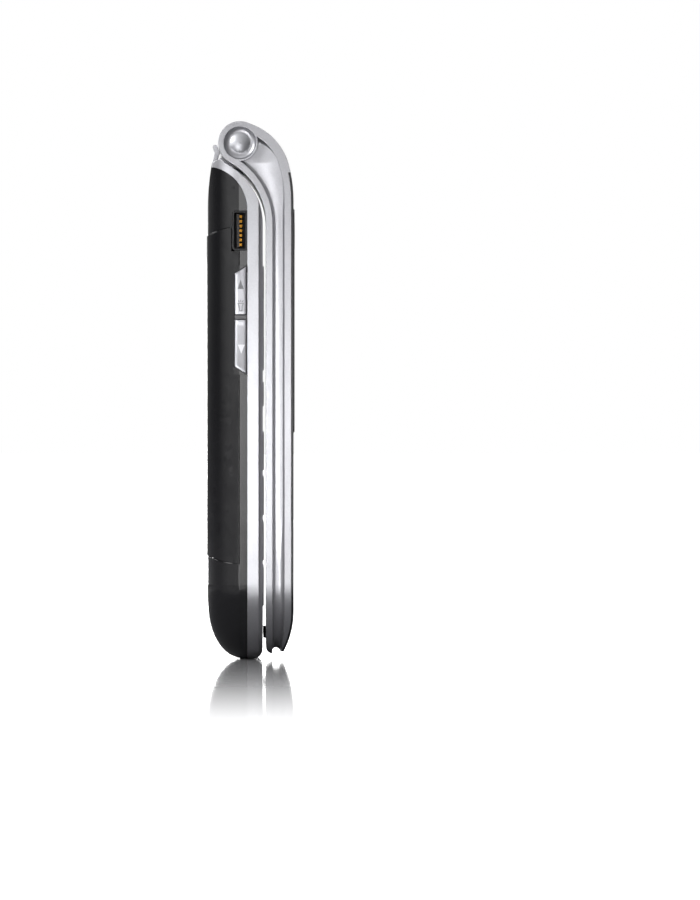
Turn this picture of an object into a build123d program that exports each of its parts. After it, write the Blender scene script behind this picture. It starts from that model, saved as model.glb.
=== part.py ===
from build123d import *
import os
from math import acos, asin, atan2, cos, degrees, hypot, radians, sin, sqrt

# Clamshell phone, closed, standing on its bottom end.
# X runs across the phone, Y through its thickness with the battery side at +Y, Z up its length.
# All sizes are in millimetres, and the origin is the middle of the bottom end.

os.makedirs("parts", exist_ok=True)

# Overall size
body_width = 50.0
body_length = 100.0
corner_radius = 14.0

# Layers of the base, from its keypad face towards the battery side
base_front_y = -2.24
bevel_depth = 0.78
bevel_inset = 0.6
frame_band = 2.07
facet_band = 1.43
case_round_depth = 5.95
cover_proud = 0.18
cover_thickness = 1.0

# Layers of the lid, from the gap towards the front
lid_gap = 0.6
inner_band = 1.22
cove_width = 2.21
cove_depth = 1.15
cove_outer_round = 1.05
cove_inner_round = 0.6
outer_band = 1.26
panel_thickness = 0.42
panel_inset = 0.35
window_proud = 0.22

# Walls and clearances
wall = 1.2
plate = 1.0
fit = 0.05
press_fit = 0.02
slide_gap = 0.15
press_gap = 0.3
key_travel = 0.25

# Hinge
barrel_radius = 4.05
hinge_y = 2.0
neck_radius = 13.0
dish_radius = 3.05
dish_rim = 0.3
dish_depth = 0.7
cap_radius = 1.84
cap_stem_radius = 1.0
cap_stem_length = 1.6
pin_radius = 1.5
pin_reach = 0.16 * body_width
pin_clearance = 0.05
cable_radius = 0.9
cam_radius = 2.6
cam_length = 0.2 * body_width
web_root = 2.0
web_overlap = 0.6
web_low = -75.0
web_high = -34.0
knuckle_half = 0.24 * body_width
knuckle_gap = 0.3
notch_radius = 5.3
rim_bearing = -38.0
rim_drop = 7.6

# Round ends of the two halves
case_side_round = 6.5
case_crease = 11.0
case_end_round = 10.6
case_bottom_z = 0.2
case_brow_radius = 50.0
case_neck_radius = 8.2
case_neck_drop = 16.5
frame_lip_radius = 1.9
lid_bottom_z = 0.98
lid_lip_radius = 1.3
toe_radius = 17.0
toe_z = 9.0
cove_toe_radius = 50.0
shoulder_radius = 11.0
brow_radius = 26.0
shoulder_flat = 1.14
brow_drop = 14.8

# Places worked out from the sizes above
half_width = body_width / 2
frame_bevel_y = base_front_y + bevel_depth
frame_back_y = frame_bevel_y + frame_band
facet_y = frame_back_y + facet_band
case_back_y = facet_y + case_round_depth
cover_back_y = case_back_y + cover_proud
lid_inner_y = base_front_y - lid_gap
cove_inner_y = lid_inner_y - inner_band
cove_outer_y = cove_inner_y - cove_width
band_outer_y = cove_outer_y - outer_band
lid_front_y = band_outer_y - panel_thickness
window_y = lid_front_y - window_proud
hinge_z = body_length - barrel_radius
hinge = (hinge_y, hinge_z)
cradle_radius = barrel_radius + lid_gap
above = body_length + 10
cap_plane = Plane(origin=(0, hinge_y, hinge_z), x_dir=(1, 0, 0), z_dir=(0, -1, 0))


def polar(centre, radius, angle):
    """Point at an angle in degrees round a centre."""
    return (centre[0] + radius * cos(radians(angle)), centre[1] + radius * sin(radians(angle)))


def bearing(centre, point):
    """Angle in degrees from a centre to a point."""
    return degrees(atan2(point[1] - centre[1], point[0] - centre[0]))


def facing_front(y):
    """Plane at depth y: X across, Z up, and extrusion runs towards the front."""
    return Plane.XZ.offset(-y)


def finish(part, label):
    """Names a finished piece and writes it."""
    part.label = label
    export_step(part, f"parts/{label}.step")


# The neck of the lid is one arc that runs from its inner face to the barrel, tangent to both
neck = (
    lid_inner_y + neck_radius,
    hinge_z - sqrt((neck_radius + barrel_radius) ** 2 - (lid_inner_y + neck_radius - hinge_y) ** 2),
)
neck_bearing = bearing(hinge, neck)

# The lid's front leaves the barrel on a short flat, then turns on a shoulder arc and a slow brow arc
brow = (lid_front_y + brow_radius, body_length - brow_drop)
brow_reach = brow_radius - shoulder_radius
shoulder_reach = hypot(shoulder_radius - barrel_radius, shoulder_flat)
brow_distance = hypot(hinge_y - brow[0], hinge_z - brow[1])
brow_share = (brow_reach**2 + brow_distance**2 - shoulder_reach**2) / (2 * brow_reach * brow_distance)
brow_turn = 180 - bearing(brow, hinge) - degrees(acos(brow_share))
shoulder = polar(brow, brow_reach, 180 - brow_turn)
flat_bearing = bearing(shoulder, hinge) + degrees(atan2(shoulder_flat, shoulder_radius - barrel_radius))

# The black case ends at a neck arc under the frame's rim, and its back leans in on a slow brow arc
case_neck = (frame_back_y + case_neck_radius, body_length - case_neck_drop)
case_brow = (case_back_y - case_brow_radius, body_length - case_neck_drop)
case_top_y = (
    case_brow_radius**2 - case_neck_radius**2 - case_brow[0] ** 2 + case_neck[0] ** 2
) / (2 * (case_neck[0] - case_brow[0]))
case_top = (case_top_y, case_neck[1] + sqrt(case_neck_radius**2 - (case_top_y - case_neck[0]) ** 2))
rim_angle = degrees(asin((body_length - rim_drop - case_brow[1]) / case_brow_radius))


def lid_side(front_inset=0.0, inner_inset=0.0, bottom=lid_bottom_z, toe_bend=toe_radius, lip=lid_lip_radius):
    """Side profile of the lid, in Y and Z, set in from its front and from its inner side."""
    inner_y = lid_inner_y - inner_inset
    toe_reach = toe_bend - front_inset
    toe_turn = degrees(asin((toe_z - bottom) / toe_reach))
    back_of_barrel = barrel_radius - (front_inset + inner_inset) / 2
    with BuildSketch() as side:
        with BuildLine():
            front = CenterArc((lid_front_y + toe_bend, toe_z), toe_reach, 180, toe_turn)
            CenterArc(brow, brow_radius - front_inset, 180 - brow_turn, brow_turn)
            Line(front @ 0, (lid_front_y + front_inset, brow[1]))
            top = CenterArc(
                shoulder, shoulder_radius - front_inset, flat_bearing, 180 - brow_turn - flat_bearing
            )
            leave = polar(hinge, barrel_radius - front_inset, flat_bearing)
            Line(leave, top @ 0)
            join = polar(hinge, barrel_radius - inner_inset, neck_bearing)
            ThreePointArc(leave, polar(hinge, back_of_barrel, (flat_bearing + neck_bearing) / 2), join)
            fall = CenterArc(neck, neck_radius + inner_inset, 180, neck_bearing)
            rest = CenterArc((inner_y - lip, bottom + lip), lip, 270, 90)
            Line(fall @ 0, rest @ 1)
            Line(rest @ 0, front @ 1)
        make_face()
    return side.sketch


def frame_side():
    """Side profile of the base's silver frame, from its lip up to the hinge cradle and its rim."""
    lip = frame_lip_radius
    with BuildSketch() as side:
        with BuildLine():
            rest = CenterArc((base_front_y + lip, lip), lip, 180, 90)
            gap_arc = CenterArc(neck, neck_radius - lid_gap, 180, neck_bearing)
            Line(rest @ 0, gap_arc @ 0)
            cradle = CenterArc(hinge, cradle_radius, neck_bearing, rim_bearing - neck_bearing)
            rim = CenterArc(
                case_brow,
                case_brow_radius,
                bearing(case_brow, case_top),
                rim_angle - bearing(case_brow, case_top),
            )
            Line(cradle @ 1, rim @ 1)
            seam = CenterArc(case_neck, case_neck_radius, 180, bearing(case_neck, case_top) - 180)
            Polyline(seam @ 0, (frame_back_y, 0), rest @ 1)
        make_face()
    return side.sketch


def case_side():
    """Side profile of the black case, from the bottom end up to its neck arc."""
    with BuildSketch() as side:
        with BuildLine():
            seam = CenterArc(case_neck, case_neck_radius, 180, bearing(case_neck, case_top) - 180)
            back = CenterArc(case_brow, case_brow_radius, 0, bearing(case_brow, case_top))
            Polyline(seam @ 0, (frame_back_y, 0), (case_back_y, 0), back @ 0)
        make_face()
    return side.sketch


def front_outline(inset=0.0, bottom=0.0, top=above):
    """Front outline, in X and Z, with the round corners of the bottom end."""
    half = half_width - inset
    low = bottom + inset
    corner = corner_radius - bottom - inset
    with BuildSketch() as outline:
        with BuildLine():
            right = CenterArc((half - corner, low + corner), corner, 270, 90)
            left = CenterArc((corner - half, low + corner), corner, 180, 90)
            Line(left @ 1, right @ 0)
            Polyline(right @ 1, (half, top), (-half, top), left @ 0)
        make_face()
    return outline.sketch


def case_section(inset=0.0, half=half_width, depth=case_round_depth):
    """Section of the black case across its length: flat facets, a crease, and elliptical corners."""
    lean = radians(case_crease)
    across = case_side_round * half / half_width - inset
    deep = (depth - inset) / (1 - sin(lean))
    centre = (half - inset - across, facet_y + depth - inset - deep)
    turn = 90 - case_crease
    with BuildSketch() as section:
        with BuildLine():
            right = EllipticalCenterArc(centre, across / cos(lean), deep, case_crease, arc_size=turn)
            left = EllipticalCenterArc((-centre[0], centre[1]), across / cos(lean), deep, 90, arc_size=turn)
            Line(right @ 1, left @ 0)
            Polyline(left @ 1, (inset - half, frame_back_y), (half - inset, frame_back_y), right @ 0)
        make_face()
    return section.sketch


def case_end_section(z):
    """Section of the case's round bottom end at a height z, a little wider than its front outline."""
    rise = corner_radius - z
    half = half_width - corner_radius + sqrt(corner_radius**2 - max(rise, 0) ** 2)
    fall = max(case_end_round + case_bottom_z - z, 0) / case_end_round
    return case_section(half=half + trim, depth=case_round_depth * sqrt(1 - fall**2))


# Heights at which the round bottom end of the case is drawn, closer together towards its tip
trim = 0.03
end_steps = 8
end_tip = case_bottom_z + 0.05
end_reach = corner_radius - end_tip
end_heights = [end_tip + end_reach * (step / end_steps) ** 2 for step in range(end_steps + 1)]

with BuildPart() as case_block:
    for height in end_heights:
        with BuildSketch(Plane.XY.offset(height)):
            add(case_end_section(height))
    loft()
    with BuildSketch(Plane.XY.offset(corner_radius)):
        add(case_section(half=half_width + trim))
    extrude(amount=body_length - corner_radius)
    with BuildSketch(Plane.YZ):
        add(case_side())
    extrude(amount=half_width + 1, both=True, mode=Mode.INTERSECT)
    with BuildSketch(facing_front(cover_back_y)):
        add(front_outline())
    extrude(amount=cover_back_y - frame_back_y, mode=Mode.INTERSECT)
    with BuildSketch(facing_front(facet_y)):
        add(front_outline(top=case_neck[1]))
    extrude(amount=facet_band)


# Battery cover zone: its two seams are arcs in the side view
seam_top_back_z = body_length - 21.3
seam_top_side_z = body_length - 19.6
seam_bottom_back_z = 19.6
seam_bottom_side_z = 17.85
seam_bow = 0.8
cover_inset = cover_thickness - cover_proud
skin_inset = cover_inset + slide_gap
zone_low = corner_radius
zone_high = case_neck[1] - 1

# Battery and its bay
battery_width = 0.68 * body_width
battery_margin = 4.6
battery_length = seam_top_back_z - seam_bottom_back_z - 2 * battery_margin - 0.9
battery_depth = 4.1
battery_z = seam_bottom_back_z + battery_margin + battery_length / 2 - 1.7
bay_gap = 0.4
bay_floor = 0.5

# Boards inside the base
key_back_y = base_front_y + plate + 0.5
board_thickness = 0.8
dome_thickness = 0.2
dome_y = key_back_y + press_gap
board_y = dome_y + dome_thickness
board_back_y = board_y + board_thickness
board_bottom_z = 2.0
board_top_z = body_length - 18.5
cavity_top_z = body_length - 17.5
case_floor_y = cover_back_y - cover_thickness - battery_depth - slide_gap
chamber_side = 5.0
chamber_depth = 4.1
upper_chamber_z = (body_length - 25.5, body_length - 14.0)
lower_chamber_z = (0.08 * body_length, 0.18 * body_length)

# Side connector on the left, with its seven contacts
connector_y = 3.45
connector_z = (body_length - 24.0, body_length - 16.6)
connector_corner = 0.7
connector_depth = 5.5
connector_wall = 0.35
contact_count = 7
contact_pitch = 0.87
contact_size = 0.5
tongue_thickness = 0.5

# Volume keys on the left
volume_y = 2.97
volume_upper_z = (body_length - 35.9, body_length - 26.9)
volume_lower_z = (body_length - 46.9, body_length - 36.8)
volume_proud = 0.2
fitting_reach = 4.5
volume_slant = 1.4

# Audio jack on the right
jack_y = 2.97
jack_z = body_length - 20.8
jack_radius = 1.8
jack_nose_radius = 2.3
jack_boss_radius = 3.4
jack_depth = 14.0
jack_body = 5.0
boss_reach = 4.0
nose_reach = 6.0

# Keypad
keypad_gap = 0.2
keypad_half = 0.41 * body_width
keypad_z = (0.07 * body_length, 0.77 * body_length)
keypad_corner = 6.0
keypad_recess = 0.5
key_proud = 0.2
flange = 0.35
flange_thickness = 0.4
digit_size = (0.248 * body_width, 0.072 * body_length)
digit_pitch = (0.268 * body_width, 0.084 * body_length)
digit_z = 0.136 * body_length
digit_corner = 1.6
nav_radius = 0.172 * body_width
nav_bore = 0.09 * body_width
nav_z = 0.635 * body_length
select_radius = nav_bore - 0.3
side_key_size = (0.172 * body_width, 0.064 * body_length)
side_key_x = 0.304 * body_width
side_key_corner = 2.0
soft_key_z = 0.7 * body_length
call_key_z = 0.57 * body_length
clear_key_z = 0.494 * body_length
clear_key_size = (0.22 * body_width, 0.046 * body_length)

# Window in the lid's panel and the displays behind it
window_half = 0.34 * body_width
window_z = (0.422 * body_length, body_length - 16.1)
window_corner = 2.0
window_ledge = 1.5
front_wall = 1.0
lens_half = 0.404 * body_width
lens_z = (0.33 * body_length, body_length - 23.0)
lens_thickness = 0.6
lens_ledge = 1.4
panel_top_drop = 9.5


def rows(low, high):
    """Middle height and length of a span along Z."""
    return (low + high) / 2, high - low


def key_face(width, height, corner, grow=0.0):
    """Rounded key outline, grown all round."""
    with BuildSketch() as face:
        RectangleRounded(width + 2 * grow, height + 2 * grow, corner + grow)
    return face.sketch


def ring_face(outer, bore, grow=0.0):
    """Ring or disc key outline, grown outwards, with its bore left as it is."""
    with BuildSketch() as face:
        Circle(outer + grow)
        if bore:
            Circle(bore, mode=Mode.SUBTRACT)
    return face.sketch


# Every key of the keypad: name, place, outline function and its sizes
digit_names = ["1", "2", "3", "4", "5", "6", "7", "8", "9", "star", "0", "hash"]
keys = []
for index, name in enumerate(digit_names):
    column = index % 3 - 1
    row = 3 - index // 3
    place = (column * digit_pitch[0], digit_z + row * digit_pitch[1])
    keys.append((f"digit_key_{name}", place, key_face, (*digit_size, digit_corner)))
for side, name in ((-1, "left"), (1, "right")):
    place = (side * side_key_x, soft_key_z)
    keys.append((f"soft_key_{name}", place, key_face, (*side_key_size, side_key_corner)))
keys.append(("call_key", (-side_key_x, call_key_z), key_face, (*side_key_size, side_key_corner)))
keys.append(("end_key", (side_key_x, call_key_z), key_face, (*side_key_size, side_key_corner)))
keys.append(("clear_key", (0, clear_key_z), key_face, (*clear_key_size, side_key_corner)))
keys.append(("nav_ring", (0, nav_z), ring_face, (nav_radius, nav_bore)))
keys.append(("select_key", (0, nav_z), ring_face, (select_radius, 0)))


def keypad_openings(grow):
    """All the key outlines in one sketch, grown by a clearance, with the ring's bore filled."""
    with BuildSketch() as openings:
        for label, place, outline, sizes in keys:
            if label != "select_key":
                with Locations(place):
                    add(make_hull(outline(*sizes, grow=grow).edges()) if label == "nav_ring"
                        else outline(*sizes, grow=grow))
    return openings.sketch


def span_box(half, z_range, y_low, y_high, mode=Mode.ADD, x=0.0):
    """Box over a half width, a span along Z and a span through the thickness."""
    middle, length = rows(*z_range)
    with Locations((x, (y_low + y_high) / 2, middle)):
        Box(2 * half, y_high - y_low, length, mode=mode)


def side_notch(y_high, z_range, x_low, x_high, mode):
    """Box in the side of the base, from the frame's edge back to y_high."""
    middle, length = rows(*z_range)
    with Locations(((x_low + x_high) / 2, (frame_back_y + y_high) / 2, middle)):
        Box(x_high - x_low, y_high - frame_back_y, length, mode=mode)


def socket_face(inset, front):
    """Outline of the side connector, in Y and Z: square towards the frame, round towards the back."""
    middle, length = rows(*connector_z)
    depth = connector_y - frame_back_y
    with BuildSketch() as face:
        with Locations((frame_back_y, middle)):
            RectangleRounded(2 * (depth - inset), length - 2 * inset, connector_corner - inset)
        with Locations((frame_back_y + front - depth, middle)):
            Rectangle(2 * depth, 2 * length, mode=Mode.SUBTRACT)
    return face.sketch


def link_face(start, end, radius):
    """Bar with round ends between two points."""
    with BuildSketch() as face:
        with Locations(start, end):
            Circle(radius)
        make_hull()
    return face.sketch


def cover_zone(clearance=0.0):
    """Side view of the cover's zone: between its two arched seams and behind the facets."""
    top_back = seam_top_back_z - clearance
    top_side = seam_top_side_z - clearance
    low_back = seam_bottom_back_z + clearance
    low_side = seam_bottom_side_z + clearance
    middle = (facet_y + cover_back_y) / 2 + seam_bow
    edge = facet_y + clearance
    with BuildSketch() as zone:
        with BuildLine():
            upper = ThreePointArc(
                (cover_back_y + 1, top_back - 0.5), (middle, (top_back + 2 * top_side) / 3), (edge, top_side)
            )
            lower = ThreePointArc(
                (cover_back_y + 1, low_back + 0.5), (middle, (low_back + 2 * low_side) / 3), (edge, low_side)
            )
            Line(upper @ 0, lower @ 0)
            Line(upper @ 1, lower @ 1)
        make_face()
    return zone.sketch


# Rear case: the outer block, stepped in under the battery cover, with its bay and chambers
with BuildPart() as cover_band:
    with BuildSketch(Plane.XY.offset(zone_low)):
        Rectangle(4 * body_width, 4 * body_width)
        add(case_section(skin_inset), mode=Mode.SUBTRACT)
    extrude(amount=zone_high - zone_low)
    with BuildSketch(Plane.YZ):
        add(cover_zone())
    extrude(amount=half_width + 1, both=True, mode=Mode.INTERSECT)

with BuildPart() as side_fittings:
    side_notch(
        connector_y + slide_gap,
        (connector_z[0] - slide_gap, connector_z[1] + slide_gap),
        -half_width - 2,
        connector_depth - half_width,
        Mode.ADD,
    )
    side_notch(
        volume_y + slide_gap,
        (volume_lower_z[0] - slide_gap, volume_upper_z[1] + slide_gap),
        -half_width - 2,
        fitting_reach - half_width,
        Mode.ADD,
    )

with BuildPart() as jack_boss:
    with BuildSketch(Plane.YZ.offset(half_width)):
        with Locations((jack_y, jack_z)):
            Circle(jack_boss_radius)
        with Locations((frame_back_y - body_width / 2, jack_z)):
            Rectangle(body_width, body_width, mode=Mode.SUBTRACT)
    extrude(amount=-boss_reach)

with BuildPart() as rear_case:
    add(case_block.part)
    add(cover_band.part, mode=Mode.SUBTRACT)
    add(jack_boss.part)
    # Front pocket for the board
    with BuildSketch(facing_front(case_floor_y - bay_floor)):
        add(front_outline(inset=wall, bottom=0, top=cavity_top_z))
    extrude(amount=case_floor_y - bay_floor - frame_back_y, mode=Mode.SUBTRACT)
    # Upper and lower chambers, and the battery bay that opens to the back
    for z_range in (upper_chamber_z, lower_chamber_z):
        span_box(half_width - chamber_side, z_range, frame_back_y, facet_y + chamber_depth, Mode.SUBTRACT)
    span_box(
        battery_width / 2 + bay_gap,
        (battery_z - battery_length / 2 - bay_gap, battery_z + battery_length / 2 + bay_gap),
        case_floor_y,
        cover_back_y,
        Mode.SUBTRACT,
    )
    # Side openings
    with BuildSketch(Plane.YZ.offset(connector_depth - half_width)):
        add(socket_face(0, 0))
    extrude(amount=-2 * connector_depth, mode=Mode.SUBTRACT)
    side_notch(
        volume_y + slide_gap,
        (volume_lower_z[0] - slide_gap, volume_upper_z[1] + slide_gap),
        -half_width - 1,
        -half_width + wall + 0.2,
        Mode.SUBTRACT,
    )
    side_notch(
        volume_y + slide_gap + flange,
        (volume_lower_z[0] - slide_gap - flange, volume_upper_z[1] + slide_gap + flange),
        -half_width + wall,
        fitting_reach - half_width,
        Mode.SUBTRACT,
    )
    with BuildSketch(Plane.YZ.offset(half_width + 1)):
        with Locations((jack_y, jack_z)):
            Circle(jack_nose_radius + fit)
    extrude(amount=-nose_reach - 2, mode=Mode.SUBTRACT)

finish(rear_case.part, "rear_case")

with BuildPart() as battery_cover:
    with BuildSketch(Plane.XY.offset(zone_low)):
        add(case_section(depth=case_round_depth + cover_proud))
        add(case_section(cover_inset), mode=Mode.SUBTRACT)
    extrude(amount=zone_high - zone_low)
    with BuildSketch(Plane.YZ):
        add(cover_zone(slide_gap))
    extrude(amount=half_width + 1, both=True, mode=Mode.INTERSECT)
    add(side_fittings.part, mode=Mode.SUBTRACT)
    with BuildSketch(Plane.YZ.offset(half_width + 1)):
        with Locations((jack_y, jack_z)):
            Circle(jack_boss_radius + slide_gap)
    extrude(amount=-nose_reach - 2, mode=Mode.SUBTRACT)
finish(battery_cover.part, "battery_cover")

# Strap eye: a bent bail behind the barrel
eye_radius = 0.45
eye_half = 3.0
eye_bar = (6.68, hinge_z - 0.25)
eye_elbow = (6.3, hinge_z - 1.3)
eye_foot = (6.85, body_length - rim_drop)
with BuildPart() as strap_eye:
    with BuildSketch(Plane.YZ):
        add(link_face(eye_bar, eye_elbow, eye_radius))
        add(link_face(eye_elbow, eye_foot, eye_radius))
    extrude(amount=eye_half, both=True)
finish(strap_eye.part, "strap_eye")


with BuildPart() as frame_envelope:
    with BuildSketch(facing_front(cover_back_y)):
        add(front_outline())
    extrude(amount=cover_back_y - frame_bevel_y)
    with BuildSketch():
        add(case_section())
        with Locations((0, facet_y - body_width / 2)):
            Rectangle(body_width, body_width)
    extrude(amount=above, mode=Mode.INTERSECT)
    with BuildSketch(facing_front(frame_bevel_y)):
        add(front_outline())
    extrude(amount=bevel_depth, taper=degrees(atan2(bevel_inset, bevel_depth)))

with BuildPart() as base_frame:
    with BuildSketch(Plane.YZ):
        add(frame_side())
    extrude(amount=half_width, both=True)
    add(frame_envelope.part, mode=Mode.INTERSECT)
    # Cavity for the board, open to the back
    with BuildSketch(facing_front(frame_back_y)):
        add(front_outline(inset=wall, top=cavity_top_z))
    extrude(amount=frame_back_y - base_front_y - plate, mode=Mode.SUBTRACT)
    # Recess for the keypad plate, and the key openings through the front wall
    middle, length = rows(*keypad_z)
    with BuildSketch(facing_front(base_front_y + keypad_recess)):
        with Locations((0, middle)):
            RectangleRounded(2 * (keypad_half + fit), length + 2 * fit, keypad_corner)
    extrude(amount=keypad_recess, mode=Mode.SUBTRACT)
    with BuildSketch(facing_front(base_front_y + plate)):
        add(keypad_openings(keypad_gap))
    extrude(amount=plate, mode=Mode.SUBTRACT)
    # Centre knuckle on its web
    with BuildSketch(Plane.YZ):
        with Locations(hinge):
            Circle(barrel_radius)
        Polygon(
            polar(hinge, web_root, web_low),
            polar(hinge, cradle_radius + web_overlap, web_low),
            polar(hinge, cradle_radius + web_overlap, web_high),
            polar(hinge, web_root, web_high),
            align=None,
        )
    extrude(amount=knuckle_half, both=True)
    with BuildSketch(Plane.YZ.offset(-knuckle_half - 1)):
        with Locations(hinge):
            Circle(cam_radius + press_fit)
    extrude(amount=cam_length + 1.5, mode=Mode.SUBTRACT)
    with BuildSketch(Plane.YZ.offset(knuckle_half + 1)):
        with Locations(hinge):
            Circle(pin_radius + press_fit)
    extrude(amount=-pin_reach - 2, mode=Mode.SUBTRACT)
    add(strap_eye.part, mode=Mode.SUBTRACT)
finish(base_frame.part, "base_frame")


def lies_on(edge, test):
    """True if both ends and the middle of an edge pass a test."""
    return all(test(edge @ share) for share in (0, 0.5, 1))


def on_cove_floor(point):
    return abs(point.X) < half_width - cove_depth + fit


def on_inner_wall(point):
    from_neck = hypot(point.Y - neck[0], point.Z - neck[1]) - neck_radius - inner_band
    return abs(from_neck) < fit or abs(point.Y - cove_inner_y) < fit


def round_the_dish(point):
    return abs(hypot(point.Y - hinge_y, point.Z - hinge_z) - dish_radius - dish_rim) < fit


def cove_edges(cutter, inner):
    """Edges where the cove's floor meets its inner wall or its outer wall."""
    found = []
    for edge in cutter.edges():
        reach = edge @ 1 - edge @ 0
        along = hypot(reach.X, reach.Z) > cove_depth / 2
        if along and lies_on(edge, on_cove_floor) and not lies_on(edge, round_the_dish):
            if lies_on(edge, on_inner_wall) == inner:
                found.append(edge)
    return found


# Lid: the cove round its sides and bottom end, which opens out under the neck and ends at the dish
with BuildPart() as cove_cutter:
    with BuildSketch(Plane.YZ):
        add(lid_side(panel_thickness + outer_band, inner_band, -lid_bottom_z, cove_toe_radius, fit))
        with Locations(hinge):
            Circle(dish_radius + dish_rim, mode=Mode.SUBTRACT)
    extrude(amount=half_width + 1, both=True)
    with BuildSketch(facing_front(cover_back_y)):
        add(front_outline(inset=cove_depth, bottom=lid_bottom_z))
    extrude(amount=body_width, mode=Mode.SUBTRACT)
    # The floor turns up on a wide round to the outer band and on a tight one to the inner band
    fillet(cove_edges(cove_cutter, inner=False), cove_outer_round)
    fillet(cove_edges(cove_cutter, inner=True), cove_inner_round)

with BuildPart() as lid_block:
    with BuildSketch(Plane.YZ):
        add(lid_side())
    extrude(amount=half_width, both=True)
    with BuildSketch(facing_front(cover_back_y)):
        add(front_outline(bottom=lid_bottom_z))
    extrude(amount=body_width, mode=Mode.INTERSECT)

# Inner skin of the lid: the strip between its inner face and the cove
with BuildPart() as inner_strip:
    with BuildSketch(Plane.YZ):
        with Locations(neck):
            Circle(neck_radius + inner_band)
        with Locations((neck[0] - (neck_radius + inner_band) / 2, neck[1] / 2 - lid_bottom_z)):
            Rectangle(neck_radius + inner_band, neck[1] + 2 * lid_bottom_z)
        with Locations(hinge):
            Circle(barrel_radius + fit, mode=Mode.SUBTRACT)
    extrude(amount=half_width + 1, both=True)

with BuildPart() as front_skin:
    with BuildSketch(Plane.YZ):
        add(lid_side(bottom=-lid_bottom_z / 2))
        add(lid_side(panel_thickness, bottom=-lid_bottom_z), mode=Mode.SUBTRACT)
        with Locations((0, body_length - panel_top_drop + body_width / 2)):
            Rectangle(2 * body_width, body_width, mode=Mode.SUBTRACT)
    extrude(amount=half_width + 1, both=True)

with BuildPart() as lid_front_housing:
    add(lid_block.part)
    add(inner_strip.part, mode=Mode.SUBTRACT)
    add(front_skin.part, mode=Mode.SUBTRACT)
    add(cove_cutter.part, mode=Mode.SUBTRACT)
    # Hollow for the displays and the board
    with BuildSketch(facing_front(cove_inner_y + 2)):
        add(front_outline(inset=wall + cove_depth, bottom=lid_bottom_z, top=cavity_top_z))
    extrude(amount=cove_inner_y + 2 - band_outer_y - front_wall, mode=Mode.SUBTRACT)
    middle, length = rows(*window_z)
    with BuildSketch(facing_front(cove_inner_y)):
        with Locations((0, middle)):
            RectangleRounded(2 * (window_half - window_ledge), length - 2 * window_ledge, 1.0)
    extrude(amount=body_width, mode=Mode.SUBTRACT)
    # Notch for the centre knuckle
    with BuildSketch(Plane.YZ):
        with Locations(hinge):
            Circle(notch_radius)
    extrude(amount=knuckle_half + knuckle_gap, both=True, mode=Mode.SUBTRACT)
    # Bores for the hinge pins, and the dishes and stem holes of the caps
    for side in (-1, 1):
        with BuildSketch(Plane.YZ.offset(side * knuckle_half)):
            with Locations(hinge):
                Circle(pin_radius + pin_clearance)
        extrude(amount=side * (pin_reach + fit), mode=Mode.SUBTRACT)
        floor_x = side * (half_width - dish_depth)
        half_deep_x = side * (half_width - dish_depth * sin(radians(45)))
        half_deep_radius = cap_radius + (dish_radius - cap_radius) * cos(radians(45))
        with BuildSketch(cap_plane):
            with BuildLine():
                slope = ThreePointArc(
                    (side * half_width, dish_radius),
                    (half_deep_x, half_deep_radius),
                    (floor_x, cap_radius),
                )
                Polyline(
                    slope @ 1,
                    (floor_x, 0),
                    (side * (half_width + 1), 0),
                    (side * (half_width + 1), dish_radius),
                    slope @ 0,
                )
            make_face()
        revolve(axis=Axis((0, hinge_y, hinge_z), (1, 0, 0)), mode=Mode.SUBTRACT)
        with BuildSketch(Plane.YZ.offset(side * half_width)):
            with Locations(hinge):
                Circle(cap_stem_radius + fit)
        extrude(amount=-side * (dish_depth + cap_stem_length + fit), mode=Mode.SUBTRACT)
finish(lid_front_housing.part, "lid_front_housing")

# Lid: inner housing with its lens recess, bumper seats and earpiece slot
lens_middle, lens_length = rows(*lens_z)
bumper_z = 4.75
bumper_x = 0.3 * body_width
bumper_size = (4.0, 1.5)
bumper_seat = 0.5
bumper_gap = 0.08
ear_z = body_length - 19.6
ear_size = (9.0, 1.4)
lid_screw_x = half_width - 6.4
lid_screw_z = 12.0
screw_radius = 0.7
screw_head_radius = 1.3
screw_head = 0.6

with BuildPart() as lid_inner_housing:
    add(lid_block.part)
    add(inner_strip.part, mode=Mode.INTERSECT)
    with BuildSketch(Plane.YZ):
        with Locations(hinge):
            Circle(notch_radius)
    extrude(amount=knuckle_half + knuckle_gap, both=True, mode=Mode.SUBTRACT)
    with BuildSketch(facing_front(lid_inner_y)):
        with Locations((0, lens_middle)):
            RectangleRounded(2 * (lens_half + fit), lens_length + 2 * fit, 2.0)
        with Locations((-bumper_x, bumper_z), (bumper_x, bumper_z)):
            RectangleRounded(bumper_size[0] + 2 * fit, bumper_size[1] + 2 * fit, 0.7)
        with Locations((0, ear_z)):
            RectangleRounded(*ear_size, 0.6)
    extrude(amount=lens_thickness + fit, mode=Mode.SUBTRACT)
    with BuildSketch(facing_front(lid_inner_y)):
        with Locations((0, lens_middle)):
            RectangleRounded(2 * (lens_half - lens_ledge), lens_length - 2 * lens_ledge, 1.0)
        with Locations((0, ear_z)):
            RectangleRounded(ear_size[0] - 1, ear_size[1] - 0.6, 0.35)
        with Locations((-lid_screw_x, lid_screw_z), (lid_screw_x, lid_screw_z)):
            Circle(screw_radius + fit)
    extrude(amount=inner_band, mode=Mode.SUBTRACT)
    with BuildSketch(facing_front(lid_inner_y)):
        with Locations((-lid_screw_x, lid_screw_z), (lid_screw_x, lid_screw_z)):
            Circle(screw_head_radius + fit)
    extrude(amount=screw_head, mode=Mode.SUBTRACT)
finish(lid_inner_housing.part, "lid_inner_housing")

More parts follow.
